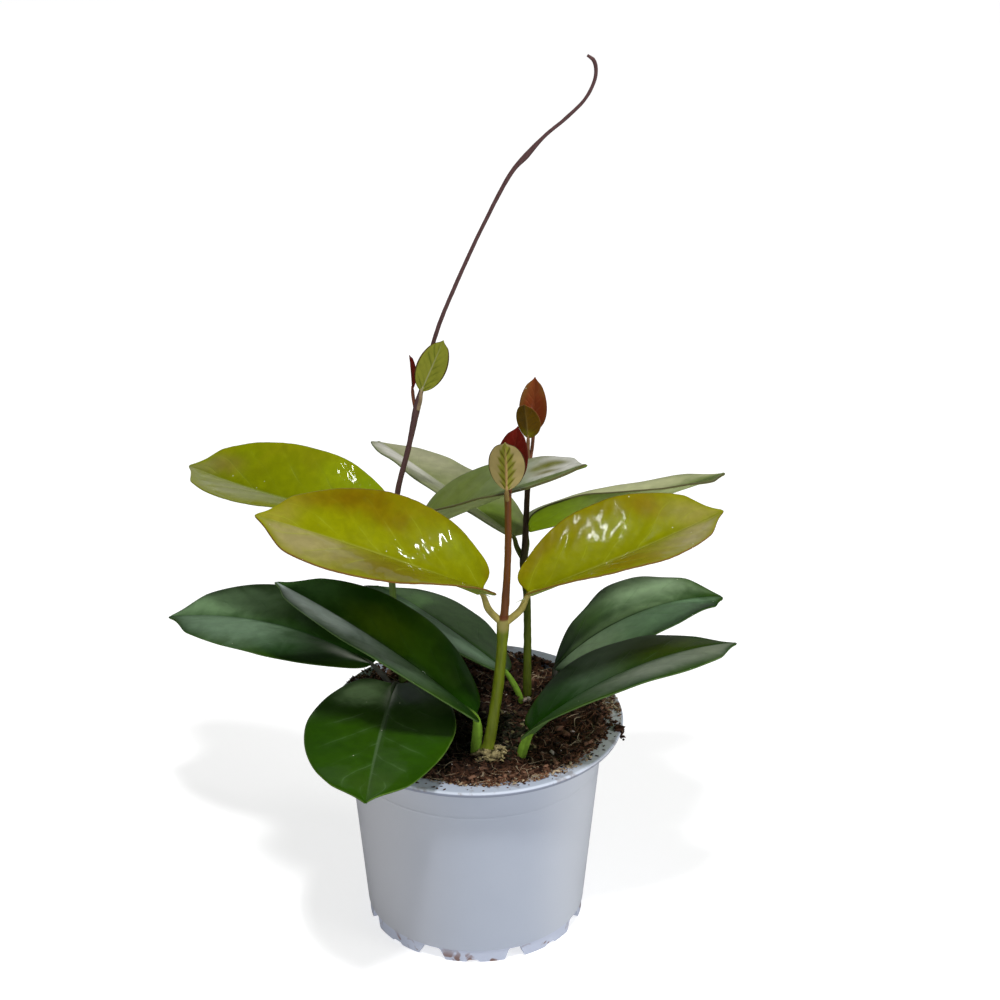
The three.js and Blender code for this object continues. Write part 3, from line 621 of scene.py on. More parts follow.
def spline(knots, steps):
    """Points along a centripetal Catmull-Rom curve through the knots, evenly spaced, and its length."""
    knots = [Vector(knot) for knot in knots]
    padded = [2 * knots[0] - knots[1], *knots, 2 * knots[-1] - knots[-2]]
    fine = []
    per_span = 24
    for i in range(1, len(padded) - 2):
        p0, p1, p2, p3 = padded[i - 1:i + 3]
        t0 = 0.0
        t1 = t0 + max((p1 - p0).length, 1e-6) ** 0.5
        t2 = t1 + max((p2 - p1).length, 1e-6) ** 0.5
        t3 = t2 + max((p3 - p2).length, 1e-6) ** 0.5
        for step in range(per_span):
            t = lerp(t1, t2, step / per_span)
            a1 = p0.lerp(p1, (t - t0) / (t1 - t0))
            a2 = p1.lerp(p2, (t - t1) / (t2 - t1))
            a3 = p2.lerp(p3, (t - t2) / (t3 - t2))
            b1 = a1.lerp(a2, (t - t0) / (t2 - t0))
            b2 = a2.lerp(a3, (t - t1) / (t3 - t1))
            fine.append(b1.lerp(b2, (t - t1) / (t2 - t1)))
    fine.append(knots[-1])
    reach = reaches(fine)
    points = []
    at = 0
    for step in range(steps + 1):
        target = reach[-1] * step / steps
        while at < len(fine) - 2 and reach[at + 1] < target:
            at += 1
        points.append(fine[at].lerp(fine[at + 1], clamp((target - reach[at]) / (reach[at + 1] - reach[at]))))
    return points, reach[-1]


def tube_rings(points, radius_at, sides, lumps=0.0, seed=0.0):
    """Rings round a line of points, kept from twisting, with a little noise on the radius."""
    rings = []
    side = None
    last = len(points) - 1
    for i, point in enumerate(points):
        along = (points[min(i + 1, last)] - points[max(i - 1, 0)]).normalized()
        if side is None:
            side = along.orthogonal().normalized()
        side = (side - along * side.dot(along)).normalized()
        other = along.cross(side)
        ring = []
        for k in range(sides):
            turn = 2 * math.pi * k / sides
            out = side * math.cos(turn) + other * math.sin(turn)
            bumps = 1 + lumps * noise.noise(point * 0.35 + out * 1.3 + Vector((seed, 0, 0)))
            ring.append(point + out * radius_at(i / last) * bumps)
        rings.append(ring)
    return rings


# Leaves
def outline(part, shoulder):
    """The blade's width at a part of its length, as a share of the widest."""
    widest = shoulder / (shoulder + TIP_POINT)
    peak = widest ** shoulder * (1 - widest) ** TIP_POINT
    slim = 1 - TIP_SLIM * smooth(part, TIP_START, 1)
    return slim * part ** shoulder * (1 - part) ** TIP_POINT / peak


def blade_frames(spec, rows):
    """The midrib's places, and the directions along, across and up from the blade there."""
    def direction(part):
        return heading(spec["azimuth"] + spec["sweep"] * part, spec["rise"] - spec["droop"] * part)

    fine_steps = 480
    place = Vector(spec["base"])
    frames = []
    done = 0
    for i in range(rows + 1):
        part = 0.5 - 0.5 * math.cos(math.pi * i / rows)
        while done < round(part * fine_steps):
            place = place + direction((done + 0.5) / fine_steps) * (spec["length"] / fine_steps)
            done += 1
        along = direction(part)
        level = along.cross(UP).normalized()
        up = level.cross(along)
        roll = math.radians(spec["roll"] + spec["twist"] * part)
        across = level * math.cos(roll) + up * math.sin(roll)
        up = up * math.cos(roll) - level * math.sin(roll)
        frames.append((done / fine_steps, place.copy(), along, across, up))
    return frames


def side_places(columns):
    """Where the columns lie from one margin to the other: closest at the midrib and at the margins."""
    crowding = 0.75
    places = []
    for j in range(columns + 1):
        t = 2 * j / columns - 1
        size = abs(t)
        places.append(math.copysign(lerp(size, smooth(size, 0, 1), crowding), t))
    return places


def blade_relief(spec, part, side, half):
    """How far the blade's surface stands above its plain form: margin waves, quilting, soft blisters."""
    look = LOOKS[spec["look"]]
    out = abs(side)
    scale = spec["width"] / USUAL_WIDTH
    seed = len(spec["name"]) * 3.7 + spec["azimuth"] * 0.11
    spot = Vector((part * spec["length"], side * half, seed * 5))
    wave = spec["wave"] * out ** 2 * (
        math.sin(2 * math.pi * (2.3 * part + 0.17 * seed + 0.2 * side))
        + 0.5 * math.sin(2 * math.pi * (4.1 * part + 0.31 * seed - 0.3 * side)))
    lean = part - VEIN_SLANT * out ** VEIN_CURVE
    phase = VEINS * lean + (0.5 if side > 0 else 0)
    middle_band = smooth(out, 0.05, 0.3) * (1 - smooth(out, 0.65, 0.98))
    uneven = clamp(0.55 + 1.4 * noise.noise(spot / 17))
    quilt = 0.16 * look["quilt"] * scale * math.cos(2 * math.pi * phase) * middle_band * uneven
    crease = Vector((lean * spec["length"] / CRINKLE, out * half / (5 * CRINKLE),
                     seed + math.copysign(4, side)))
    ripples = 0.16 * noise.noise(crease) * smooth(out, 0.03, 0.2)
    vein_depth = clamp(0.35 + 2.2 * noise.noise(spot / 13 + Vector((40, 0, 0))))
    grooves = 0.22 * vein_depth * bell(abs((phase + 0.25) % 1 - 0.5), 0.085) * middle_band
    blisters = 0.3 * noise.noise(spot / (9 * scale)) * smooth(out, 0, 0.2)
    fine = 0.09 * noise.noise(spot / (3.6 * scale))
    relief = quilt + look["crinkle"] * (ripples - grooves) + look["wrinkle"] * scale * (blisters + fine)
    ends = smooth(part, 0, 0.08) * (1 - smooth(part, 0.93, 1))
    return wave * smooth(part, 0, 0.25) + relief * ends


def round_off(distance, reach):
    """The height of a rounded edge, as a share, at a distance in from it."""
    return math.sqrt(clamp(1 - (1 - clamp(distance / reach)) ** 2))


def blade_skin(shell, spec, rows, columns):
    """A blade with a rounded margin, a groove along the midrib above and a rib below."""
    scale = spec["width"] / USUAL_WIDTH
    slim = min(scale * 1.6, 1)
    sides = side_places(columns)
    rings = []
    values = []
    for part, place, along, across, up in blade_frames(spec, rows):
        fold = math.radians(spec["fold"] - spec["opening"] * part)
        half = max(0.25, spec["width"] / 2 * outline(part, spec["shoulder"]))
        lobe_part = max(part, LEAST_LOBE_PART) / LOBE_REACH
        back = spec["lobe"] * lobe_part * math.exp(1 - lobe_part)
        end_round = round_off(part, END_ROUND) * round_off(1 - part, END_ROUND)
        top, bottom = [], []
        for side in sides:
            out = abs(side)
            lift = half * out * (math.sin(fold) - BLADE_ARCH * out) + blade_relief(spec, part, side, half)
            middle = place + across * (half * side * math.cos(fold)) + up * lift - along * (back * out ** 1.5)
            thickness = lerp(BLADE_MIDDLE, BLADE_EDGE, math.sqrt(out)) * slim
            thickness *= round_off(1 - out, MARGIN_ROUND) * max(end_round, 0.02)
            from_rib = out * half / scale
            groove = 0.5 * scale * bell(from_rib, 0.9) * (1 - 0.6 * part) * end_round
            ridge = 0.7 * scale * bell(from_rib, 1.1) * (1 - part) * end_round
            top.append(middle + up * (thickness / 2 - groove))
            bottom.append(middle - up * (thickness / 2 + ridge - groove * 0.3))
        rings.append(top + bottom[-2:0:-1])
        values.append([(part, side, 0.0, 0.0) for side in sides]
                      + [(part, side, 1.0, 0.0) for side in sides[-2:0:-1]])
    shell.skin(rings, values)


def petiole_skin(shell, spec, sides):
    """The petiole, which runs on as the midrib under the blade's first part."""
    root = Vector(spec["root"])
    base = Vector(spec["base"])
    into_blade = spec["length"] * MIDRIB_SHARE
    end = base + heading(spec["azimuth"], spec["rise"]) * into_blade
    if spec["root"][2] == SOIL_LEVEL:
        knots = [root - UP * ROOT_DEPTH, root, base, end]
    else:
        elbow = root.lerp(base, ELBOW_OUT)
        elbow.z = lerp(root.z, base.z, ELBOW_UP)
        knots = [root, elbow, base, end]
    points, length = spline(knots, PETIOLE_STEPS)

    def radius(part):
        thin = smooth(part * length, length - 2 * into_blade, length)
        return lerp(spec["petiole"], MIDRIB_RADIUS, thin) * (1 + 0.12 * bell(part, 0.12))

    rings = tube_rings(points, radius, sides, lumps=0.05, seed=spec["azimuth"])
    entry = 1 - into_blade / length
    shares = [1 - 0.92 * smooth(i / (len(rings) - 1), entry - 0.02, entry + 0.14) for i in range(len(rings))]
    shell.skin(rings, [[(0.0, 0.0, 1.0, share)] * sides for share in shares])


def patch_colour(patches, part, side):
    """The colour that the patches leave at a place on the blade, and how much of the face they cover."""
    colour = Vector((0, 0, 0))
    cover = 0.0
    for middle, across, reach, width, tint, strength in patches:
        if abs(across) >= ONE_SIDED and side * across < 0:
            continue
        share = strength * bell(part - middle, reach) * bell(side - across, width)
        whole = share + cover * (1 - share)
        if whole > 0:
            colour = colour.lerp(Vector(tint), share / whole)
        cover = whole
    return tuple(colour), cover


def make_leaf(spec, rows, columns, petiole_sides, materials):
    shell = Shell()
    blade_skin(shell, spec, rows, columns)
    petiole_skin(shell, spec, petiole_sides)
    name = spec["name"]
    sets = (PATCHES.get(name, []), PATCHES.get(name + "/under", []))
    tints = [patch_colour(sets[int(below)], part, side) for part, side, below, _ in shell.values]
    attributes = {
        "blade": [value[:3] for value in shell.values],
        "stalk": [value[3] for value in shell.values],
        # Marks the leaves whose petiole is painted grey as shade and reflection
        "grey": [1.0 if name in SHADE_GREY_STALK_LEAVES else 0.0] * len(shell.values),
        "tint": [colour for colour, _ in tints],
        "cover": [cover for _, cover in tints],
    }
    look = spec["look"]
    shell.piece("fine_" + name, materials[look], attributes, name)


# Stems
def make_stem(name, steps, sides, material):
    """A stem through its knots, its radius eased from knot to knot."""
    knots = STEMS[name]
    reach = reaches([Vector(at) for at, _ in knots])

    def radius(part):
        along = part * reach[-1]
        span = 1
        while span < len(reach) - 1 and reach[span] < along:
            span += 1
        return lerp(knots[span - 1][1], knots[span][1], smooth(along, reach[span - 1], reach[span]))

    points, _ = spline([at for at, _ in knots], steps)
    shell = Shell()
    shell.skin(tube_rings(points, radius, sides, lumps=0.09, seed=len(name)))
    shell.piece("fine_" + name, material, node=name)


def make_spikes(material):
    """The two tiny needles that stand out from the front upper blades' bases towards the stem."""
    shell = Shell()
    for tail, tip in SPIKES:
        points, _ = spline([tail, Vector(tail).lerp(Vector(tip), 0.5) + UP * 0.1, tip], 8)
        shell.skin(tube_rings(points, lambda part: lerp(0.28, 0.05, part), 6))
    shell.piece("leaf_base_spikes", material)


def make_callus(material):
    """The lumpy pale growth round the foot of the front stem, crusted with small grains."""
    rng = random.Random(SEEDS["callus"])
    shell = Shell()
    for i, (centre, size) in enumerate(CALLUS):
        shell.lump(centre, size, i + 4.3, rough=0.9, flat=0.85)
        for _ in range(round(CALLUS_CRUST * size)):
            out = Vector((rng.gauss(0, 1), rng.gauss(0, 1), rng.gauss(0.4, 1))).normalized()
            at = Vector(centre) + Vector((out.x, out.y, 0.85 * out.z)) * size * rng.uniform(0.85, 1.12)
            shell.lump(at, rng.uniform(0.25, 0.75), rng.uniform(0, 60), rough=0.9, flat=0.9)
    for _ in range(CALLUS_CRUMBS):
        turn = rng.uniform(0, 2 * math.pi)
        far = rng.uniform(2.6, 6)
        height = 91.6 - 0.35 * far + rng.uniform(0, 0.8)
        centre = (6.2 + 1.2 * far * math.cos(turn), -32.6 + 0.7 * far * math.sin(turn), height)
        shell.lump(centre, rng.uniform(0.2, 0.6), rng.uniform(0, 60), rough=0.9, flat=0.8)
    shell.piece("stem_front_callus", material)


# Pot
def pot_profile():
    """The pot's section, from near the axis under the floor, up the outside and down the inside."""
    slope = (WALL_TOP_RADIUS - WALL_FOOT_RADIUS) / (POT_HEIGHT - FOOT_HEIGHT)

    def outer(height, out=0.0):
        return WALL_FOOT_RADIUS + slope * (height - FOOT_HEIGHT) + out, height

    def arc(cx, cz, radius, start, stop, steps):
        turns = [math.radians(lerp(start, stop, i / steps)) for i in range(steps + 1)]
        return [(cx + radius * math.cos(turn), cz + radius * math.sin(turn)) for turn in turns]

    foot_outer = WALL_FOOT_RADIUS - FOOT_INSET
    foot_inner = foot_outer - FOOT_WIDTH
    under = POT_HEIGHT - FLANGE_THICKNESS
    profile = [(foot_inner - 0.3, FOOT_HEIGHT)]
    profile += arc(foot_inner + 0.3, 0.3, 0.3, 180, 270, 3)
    profile += arc(foot_outer - 0.5, 0.5, 0.5, 270, 350, 4)
    profile += [(foot_outer + 0.05, FOOT_HEIGHT - 0.9), (foot_outer + 0.15, FOOT_HEIGHT - 0.4)]
    profile += arc(WALL_FOOT_RADIUS - 0.35, FOOT_HEIGHT + 0.1, 0.4, -70, 0, 5)
    ridge_steps = 12
    for i in range(ridge_steps + 1):
        share = 2 * i / ridge_steps - 1
        out = RIDGE_OUT * (0.5 + 0.5 * math.cos(math.pi * share))
        profile.append(outer(RIDGE_HEIGHT + RIDGE_HALF_WIDTH * share, out))
    profile += [outer(under - 1), (outer(under)[0] + 0.15, under - 0.4), outer(under, 1)]
    profile += [(FLANGE_RADIUS - 1.6, under), (FLANGE_RADIUS - 1.25, under - 0.1)]
    profile += arc(FLANGE_RADIUS - 0.75, under - 0.4, 0.4, 200, 330, 5)
    profile += arc(FLANGE_RADIUS - 0.95, POT_HEIGHT - 0.95, 0.95, 0, 90, 7)
    profile += arc(MOUTH_RADIUS + 1.2, POT_HEIGHT - 1.2, 1.2, 90, 180, 7)
    inner_foot = WALL_FOOT_RADIUS - WALL
    profile += [(inner_foot + 0.2, FOOT_HEIGHT + WALL + 1), (inner_foot - 1, FOOT_HEIGHT + WALL)]
    return profile


def circle(middle, radius, sides):
    return [middle + around(radius, 2 * math.pi * k / sides) for k in range(sides)]


def arched_block(azimuth, width, height):
    """A block with sloped sides that points outwards from the axis, for a gap between two feet."""
    out = around(1, math.radians(azimuth))
    across = Vector((-out.y, out.x, 0))
    steps = 18
    section = [(-width / 2, -1), (width / 2, -1)]
    for i in range(steps + 1):
        t = 1 - 2 * i / steps
        section.append((width / 2 * t, height * (1 - smooth(abs(t), 0.45, 1))))
    reaches_to = (WALL_FOOT_RADIUS - 9, WALL_FOOT_RADIUS + 3)
    return [[out * reach + across * x + UP * z for x, z in section] for reach in reaches_to]


def make_pot(material):
    shell = Shell()
    shell.skin([circle(UP * height, radius, POT_SIDES) for radius, height in pot_profile()])
    pot = shell.piece("fine_pot", material, node="pot")
    cutters = []
    for k in range(FOOT_COUNT):
        azimuth = FIRST_GAP + 360 / FOOT_COUNT * k
        hole = around(DRAIN_REACH, math.radians(azimuth))
        for rings in (arched_block(azimuth, GAP_WIDTHS[k % 2], GAP_HEIGHT),
                      arched_block(azimuth + 180 / FOOT_COUNT, NOTCH_WIDTH, NOTCH_HEIGHT),
                      [circle(hole + UP * (FOOT_HEIGHT + z), DRAIN_RADIUS, DRAIN_SIDES) for z in (-3, 4)]):
            block = Shell()
            block.skin(rings)
            cutters.append(add_object("cutter", block.mesh("cutter")))
            cut = pot.modifiers.new("Cut", "BOOLEAN")
            cut.operation = "DIFFERENCE"
            cut.solver = "EXACT"
            cut.object = cutters[-1]
    bpy.context.view_layer.update()
    cut_mesh = bpy.data.meshes.new_from_object(pot.evaluated_get(bpy.context.evaluated_depsgraph_get()))
    pot.modifiers.clear()
    pot.data = cut_mesh
    cut_mesh.shade_smooth()
    cut_mesh.set_sharp_from_angle(angle=math.radians(SHARP_EDGE))
    for block in cutters:
        bpy.data.objects.remove(block)


# Soil
def soil_height(x, y):
    """The height of the peat's surface: the solid's long waves and mounds, with lumps of smaller sizes."""
    height = SOIL_LEVEL + 0.5 * math.sin(x / 6.1 + 1.2) * math.cos(y / 5.3) + 0.4 * math.sin((x + y) / 3.9)
    for mound_x, mound_y, lift, reach in MOUNDS:
        height += lift * bell(math.hypot(x - mound_x, y - mound_y), reach)
    spot = Vector((x, y, 0))
    lumps = 2.3 * noise.noise(spot / 5.5) + 1.5 * noise.noise(spot / 2.6 + Vector((9, 0, 0)))
    return height + lumps + 0.7 * noise.noise(spot / 1.2 + Vector((0, 7, 0)))


def on_soil(spot, lift):
    return Vector((spot.x, spot.y, soil_height(spot.x, spot.y) + lift))


def soil_spot(rng, reach):
    return around(reach * math.sqrt(rng.random()), rng.uniform(0, 2 * math.pi))


def make_soil(material):
    top_radius = MOUTH_RADIUS - 0.15
    foot_radius = WALL_FOOT_RADIUS - WALL - 2.2
    rings = [circle(UP * (FOOT_HEIGHT + WALL + 0.3), foot_radius, SOIL_SIDES),
             circle(UP * (POT_HEIGHT - 3.2), top_radius, SOIL_SIDES)]
    for i in range(SOIL_RINGS):
        radius = (top_radius - 0.15) * (1 - i / SOIL_RINGS) + 0.2
        edge_drop = 0.9 * smooth(radius, top_radius - 2.5, top_radius)
        rings.append([on_soil(spot, -edge_drop) for spot in circle(Vector(), radius, SOIL_SIDES)])
    shell = Shell()
    shell.skin(rings)
    shell.piece("fine_soil", material, node="soil")


def crumb_piece(name, spots, material):
    """One piece of many grains. Each spot is a grain's middle, its size, its flatness and its tone."""
    shell = Shell()
    for i, (centre, size, flat, tone) in enumerate(spots):
        shell.lump(centre, size, i * 1.3, rough=0.95, flat=flat, value=tone)
    shell.grains(name, material)


def make_crumbs(material):
    """Peat crumbs and clods on the soil."""
    rng = random.Random(SEEDS["crumbs"])
    spots = []
    for _ in range(CRUMBS):
        spot = soil_spot(rng, MOUTH_RADIUS - 1)
        size = 0.3 + 1.5 * rng.random() ** 4
        spots.append((on_soil(spot, 0.3 * size), size, 0.8, rng.random() ** 1.5))
    crumb_piece("soil_crumbs", spots, material)


def make_moss(material):
    """A low mound of dark, mossy grains between the stems."""
    rng = random.Random(SEEDS["moss"])
    spots = []
    for _ in range(MOSS_GRAINS):
        spot = Vector([middle + spread * rng.gauss(0, 1) for middle, spread in zip(MOSS_MIDDLE, MOSS_SPREAD)])
        if spot.length <= MOUTH_RADIUS - 2:
            size = rng.uniform(0.35, 1.15)
            spots.append((on_soil(spot, 0.35 * size), size, 0.85, rng.random() ** 1.6))
    crumb_piece("soil_moss", spots, material)


def spill_reach(degrees):
    """How far the soil runs out over the flange, in this direction from the axis."""
    return 0.8 + sum(most * bell((degrees - middle + 180) % 360 - 180, spread)
                     for middle, spread, most in SPILLS)


def make_spill(material):
    """Soil that has run out over the flange: a thick ragged edge, loose crumbs, and a clod over the rim."""
    rng = random.Random(SEEDS["spill"])
    spots = []
    for _ in range(SPILLED_CRUMBS):
        degrees = rng.uniform(0, 360)
        ragged = 0.75 + 0.9 * noise.noise(Vector((degrees / 7, 0, 0)))
        share = rng.random() ** 1.15
        far = min(MOUTH_RADIUS - 1.2 + share * (1.2 + ragged * spill_reach(degrees)), FLANGE_RADIUS - 0.9)
        size = rng.uniform(0.25, 1.05) * (1 - 0.45 * share)
        lift = 0.3 * size + (1 - share) * rng.uniform(0, 1.4)
        spots.append((around(far, math.radians(degrees), POT_HEIGHT + lift), size, 0.7, rng.random()))
    for _ in range(LOOSE_CRUMBS):
        turn = math.radians(rng.uniform(-130, 60))
        far = rng.uniform(MOUTH_RADIUS + 2, FLANGE_RADIUS - 1.2)
        size = rng.uniform(0.2, 0.5)
        spots.append((around(far, turn, POT_HEIGHT + 0.3 * size), size, 0.7, rng.random()))
    for i in range(CLOD_GRAINS):
        share = i / (CLOD_GRAINS - 1)
        x, y, lift = CLOD
        centre = (x + 2 * share + rng.uniform(-0.5, 0.5), y + rng.uniform(-0.9, 0.9),
                  POT_HEIGHT + lift - CLOD_DROP * share ** 1.4)
        spots.append((centre, 1.2 - 0.65 * share, 1.0, 0.2))
    crumb_piece("flange_crumbs", spots, material)


def make_husks(material):
    """Tan flakes and dry crumbs that lie on the flange at the front and at the right."""
    rng = random.Random(SEEDS["husks"])
    spots = []
    for middle, spread, least, most, count in HUSKS:
        for _ in range(count):
            turn = math.radians(rng.gauss(middle, spread))
            far = rng.uniform(least, most)
            size = 0.15 + 0.55 * rng.random() ** 2
            centre = around(far, turn, POT_HEIGHT + size * rng.uniform(0.2, 1.2))
            spots.append((centre, size, 0.45, 0.3 + 0.7 * rng.random()))
    crumb_piece("flange_husks", spots, material)


def add_strand(shell, knots, radius, tone):
    """A thin strand through the knots, thinner at both ends."""
    points, _ = spline(knots, 6)
    rings = tube_rings(points, lambda part: radius * (1 - 0.5 * abs(2 * part - 1)), 5)
    shell.skin(rings, [[(tone, 0.0, 0.0, 0.0)] * 5 for _ in rings])


def add_flange_strands(shell, rng):
    """Short pale strands among the flakes on the flange."""
    for middle, spread, least, most, count in HUSKS:
        for _ in range(count // 2):
            turn = math.radians(rng.gauss(middle, spread))
            at = around(rng.uniform(least, most - 0.5), turn, POT_HEIGHT + 0.15)
            lie = rng.uniform(0, 2 * math.pi)
            step = around(rng.uniform(0.4, 1.3), lie)
            bend = Vector((-step.y, step.x, 0)) * rng.uniform(-0.7, 0.7) + UP * rng.uniform(0.1, 0.7)
            knots = [at - step, at + bend, at + step]
            if max(knot.xy.length for knot in knots) < FLANGE_RADIUS - 0.3:
                add_strand(shell, knots, rng.uniform(0.07, 0.16), rng.uniform(0.7, 1))


def make_fibres(material):
    """Peat fibres: short bent strands that lie about on the soil, every fifth one near its front edge."""
    rng = random.Random(SEEDS["fibres"])
    shell = Shell()
    for i in range(FIBRES):
        middle = soil_spot(rng, MOUTH_RADIUS)
        if i % 5 == 0:
            turn = math.radians(rng.uniform(-125, -10))
            middle = around(rng.uniform(MOUTH_RADIUS - 6, MOUTH_RADIUS + 3), turn)
        turn = rng.uniform(0, 2 * math.pi)
        step = around(rng.uniform(1.2, 8) / 2, turn)
        bend = Vector((-step.y, step.x, 0)) * rng.uniform(-0.5, 0.5)
        knots = []
        for share in (-1, 0, 1):
            spot = middle + step * share + bend * (1 - share * share)
            far = spot.xy.length
            if far > MOUTH_RADIUS + 3:
                spot *= (MOUTH_RADIUS + 3) / far
            lift = rng.uniform(0.1, 1.3)
            ground = soil_height(spot.x, spot.y) if far < MOUTH_RADIUS - 1.5 else POT_HEIGHT
            knots.append(Vector((spot.x, spot.y, max(ground, SOIL_LEVEL) + lift)))
        add_strand(shell, knots, rng.uniform(0.07, 0.19), rng.random())
    add_flange_strands(shell, rng)
    shell.grains("soil_fibres", material)


def make_perlite(material):
    """White and pinkish grains in the peat: some listed ones and some strewn."""
    rng = random.Random(SEEDS["perlite"])
    shell = Shell()
    form = dict(rough=0.7, flat=0.8)
    for x, y, size in PERLITE:
        shell.lump(on_soil(Vector((x, y)), 0.5 * size), size, x * 1.1, value=rng.random(), **form)
    for _ in range(STREWN_PERLITE):
        spot = soil_spot(rng, MOUTH_RADIUS - 3)
        size = rng.uniform(0.2, 0.5)
        shell.lump(on_soil(spot, 0.4 * size), size, rng.uniform(0, 60), value=rng.random(), **form)
    shell.grains("soil_perlite", material)


# Materials
class Paint:
    """A material painted layer by layer, with short names for the nodes that are used again and again."""

    def __init__(self, name):
        self.material = bpy.data.materials.new(name)
        self.material.use_nodes = True
        self.tree = self.material.node_tree
        self.coordinates = self.tree.nodes.new("ShaderNodeTexCoord").outputs["Object"]
        self.colour = None

    def node(self, kind, inputs, **settings):
        made = self.tree.nodes.new(kind)
        for key, value in settings.items():
            setattr(made, key, value)
        for key, value in inputs.items():
            self.set(made.inputs[key], value)
        return made

    def set(self, socket, value):
        if isinstance(value, bpy.types.NodeSocket):
            self.tree.links.new(value, socket)
        elif isinstance(value, tuple) and len(value) == 3 and socket.type == "RGBA":
            socket.default_value = (*value, 1)
        else:
            socket.default_value = value

    # Sums
    def math(self, operation, a, b=0.0, c=0.0):
        return self.node("ShaderNodeMath", {0: a, 1: b, 2: c}, operation=operation).outputs[0]

    def times(self, a, b):
        return self.math("MULTIPLY", a, b)

    def plus(self, a, b):
        return self.math("ADD", a, b)

    def minus(self, a, b):
        return self.math("SUBTRACT", a, b)

    def size(self, a):
        return self.math("ABSOLUTE", a)

    def total(self, *terms):
        """The sum of values, each with its weight."""
        result = 0.0
        for value, weight in terms:
            result = self.math("MULTIPLY_ADD", value, weight, result)
        return result

    def vector(self, operation, a, b=(0, 0, 0), output="Vector"):
        return self.node("ShaderNodeVectorMath", {0: a, 1: b}, operation=operation).outputs[output]

    def split(self, vector):
        return self.node("ShaderNodeSeparateXYZ", {0: vector}).outputs

    def band(self, value, low, high, bottom=0.0, top=1.0):
        """Eases from bottom to top while the value goes from low to high."""
        inputs = {"Value": value, "From Min": low, "From Max": high, "To Min": bottom, "To Max": top}
        return self.node("ShaderNodeMapRange", inputs, interpolation_type="SMOOTHSTEP").outputs["Result"]

    def fade(self, value, full, end, most=1.0):
        return self.band(value, full, end, most, 0.0)

    # Patterns
    def spot(self):
        """The place in millimetres, measured from the pot's axis at the ground."""
        return self.vector("MULTIPLY", self.vector("SUBTRACT", self.coordinates, tuple(AXIS)), (1 / MM,) * 3)

    def noise(self, scale, detail=3.0, distortion=0.0, place=None):
        inputs = {"Vector": place or self.coordinates, "Scale": scale, "Detail": detail,
                  "Distortion": distortion}
        return self.node("ShaderNodeTexNoise", inputs).outputs["Fac"]

    def specks(self, scale, radius, share):
        """Round specks in a share of the cells."""
        cells = self.node("ShaderNodeTexVoronoi", {"Vector": self.coordinates, "Scale": scale})
        dot = self.fade(cells.outputs["Distance"], radius * 0.6, radius)
        pick = self.node("ShaderNodeSeparateColor", {0: cells.outputs["Color"]}).outputs[0]
        return self.times(dot, self.math("LESS_THAN", pick, share))

    def attribute(self, name, output="Fac"):
        return self.node("ShaderNodeAttribute", {}, attribute_name=name).outputs[output]

    # Colours
    def mix(self, share, a, b, blend="MIX"):
        made = self.node("ShaderNodeMix", {0: share, 6: a, 7: b}, data_type="RGBA", blend_type=blend)
        return made.outputs[2]

    def toned(self, colour, share):
        grey = self.node("ShaderNodeCombineColor", {0: share, 1: share, 2: share}).outputs[0]
        return self.mix(1.0, colour, grey, "MULTIPLY")

    def start(self, share, a, b):
        self.colour = self.mix(share, a, b)

    def lay(self, tint, share, strength=None):
        """Lays a colour over what is there so far."""
        if strength is not None:
            share = self.times(share, strength)
        self.colour = self.mix(share, self.colour, tint)

    def bump(self, height, strength, distance_mm):
        inputs = {"Height": height, "Strength": strength, "Distance": distance_mm * MM}
        return self.node("ShaderNodeBump", inputs).outputs["Normal"]

    def finish(self, roughness, normal=None, **fixed):
        sockets = self.tree.nodes["Principled BSDF"].inputs
        self.set(sockets["Base Color"], self.colour)
        self.set(sockets["Roughness"], roughness)
        if normal is not None:
            self.set(sockets["Normal"], normal)
        for key, value in fixed.items():
            self.set(sockets[key.replace("_", " ")], value)
        return self.material


